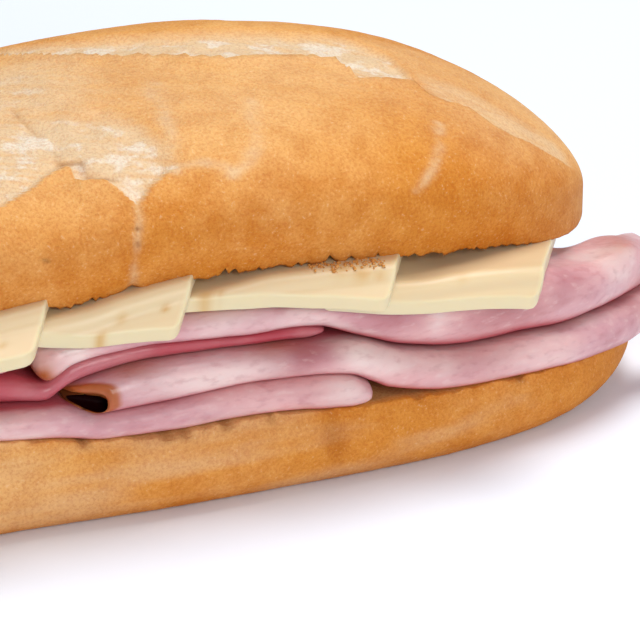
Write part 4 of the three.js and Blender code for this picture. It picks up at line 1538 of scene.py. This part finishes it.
@dataclass(frozen=True)
class Studio:
    """Plain pale floor, soft light from above and the camera at the photo's angle."""

    azimuth: float = -20.0
    elevation: float = 25.0
    distance_mm: float = 750.0
    mm_per_pixel: float = 0.168
    target_mm: tuple[float, float, float] = (50.0, -25.0, 26.0)
    sensor_mm: float = 36.0
    reach_m: float = 20.0
    floor_mm: float = 3000.0
    floor_colour: str = "#f4f8ff"
    sky_colour: str = "#e6f0ff"
    sky_strength: float = 0.35
    lights: tuple[SoftLight, ...] = (
        SoftLight("key", (0.0, -1.14, 0.6), 0.5, 6.9),
        SoftLight("top", (0.3, 0.1, 1.2), 0.6, 10.6),
    )

    def camera(self, origin: np.ndarray) -> None:
        """Sets up the camera: its lens shows the photo's millimetres for each pixel.

        Args:
            origin: place of the roll's own origin in the frame, in millimetres.
        """
        a, e = math.radians(self.azimuth), math.radians(self.elevation)
        towards = Vector((math.sin(a) * math.cos(e), -math.cos(a) * math.cos(e), math.sin(e)))
        target = Vector((np.array(self.target_mm) + origin) * MM)
        data = bpy.data.cameras.new("camera")
        data.sensor_width = self.sensor_mm
        data.lens = self.sensor_mm * self.distance_mm / (self.mm_per_pixel * PHOTO_PIXELS)
        data.clip_end = self.reach_m
        made = bpy.data.objects.new("camera", data)
        made.location = target + towards * self.distance_mm * MM
        made.rotation_euler = (-towards).to_track_quat("-Z", "Y").to_euler()
        bpy.context.scene.collection.objects.link(made)
        bpy.context.scene.camera = made

    def light(self, lamp: SoftLight) -> None:
        """Adds a light that faces the sandwich.

        Args:
            lamp: the light.
        """
        data = bpy.data.lights.new(lamp.name, "AREA")
        data.shape = "SQUARE"
        data.size = lamp.side
        data.energy = lamp.power
        made = bpy.data.objects.new(lamp.name, data)
        made.location = lamp.place
        made.rotation_euler = (-Vector(lamp.place)).to_track_quat("-Z", "Y").to_euler()
        bpy.context.scene.collection.objects.link(made)

    def floor(self) -> None:
        """Adds the floor, matt white card: even and without gloss, so that shadows stay soft."""
        reach = self.floor_mm * MM / 2
        mesh = bpy.data.meshes.new("floor")
        mesh.from_pydata([(-reach, -reach, 0), (reach, -reach, 0), (reach, reach, 0), (-reach, reach, 0)],
                         [], [(0, 1, 2, 3)])
        material = bpy.data.materials.new("white_card")
        material.use_nodes = True
        surface = material.node_tree.nodes["Principled BSDF"]
        surface.inputs["Base Color"].default_value = linear(self.floor_colour)
        surface.inputs["Roughness"].default_value = 0.9
        surface.inputs["Specular IOR Level"].default_value = 0.1
        mesh.materials.append(material)
        made = bpy.data.objects.new("floor", mesh)
        bpy.context.scene.collection.objects.link(made)

    def build(self, origin: np.ndarray) -> None:
        """Builds the floor, the lights, the surrounding light and the camera.

        Args:
            origin: place of the roll's own origin in the frame, in millimetres.
        """
        scene = bpy.context.scene
        scene.view_settings.view_transform = "Standard"
        scene.view_settings.look = "None"
        world = bpy.data.worlds.new("studio")
        world.use_nodes = True
        background = world.node_tree.nodes["Background"]
        background.inputs["Color"].default_value = linear(self.sky_colour)
        background.inputs["Strength"].default_value = self.sky_strength
        scene.world = world
        self.floor()
        for lamp in self.lights:
            self.light(lamp)
        self.camera(origin)
        log.info("studio: camera %.0f mm from the sandwich", self.distance_mm)


def main(frame: dict) -> None:
    """Builds the sandwich in the frame, piece by piece, and then the studio.

    Args:
        frame: what the frame's loader returned.
    """
    low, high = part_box("bread_bottom")
    origin = np.array([(low.x + high.x) / 2, (low.y + high.y) / 2, 0.0]) / MM
    log.info("roll origin at %s mm in a frame of %d nodes", np.round(origin, 2), len(frame["nodes"]))
    crust = BakedCrust().material()
    ham = CookedHam().material()
    cheese = SlicedCheese().material()
    RollTop().build().place(origin, crust, "crust", ("bread_top",))
    RollBottom().build().place(origin, crust, "crust", ("bread_bottom",))
    row = CheeseRow()
    slices = {number: row.build(number) for number in range(1, len(row.slices) + 1)}
    for number, piece in slices.items():
        piece.place(origin, cheese, "cheese", (f"cheese_{number}",))
    Crumbs().build(slices[6]).place(origin, crust, "crust")
    stack = HamStack(row)
    for piece in stack.slices:
        stack.build(piece).place(origin, ham, "ham", (piece.node,))
    Studio().build(origin)


if __name__ == "__main__":
    logging.basicConfig(level=logging.INFO, format="%(name)s %(message)s")
    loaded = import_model()
    main(loaded)
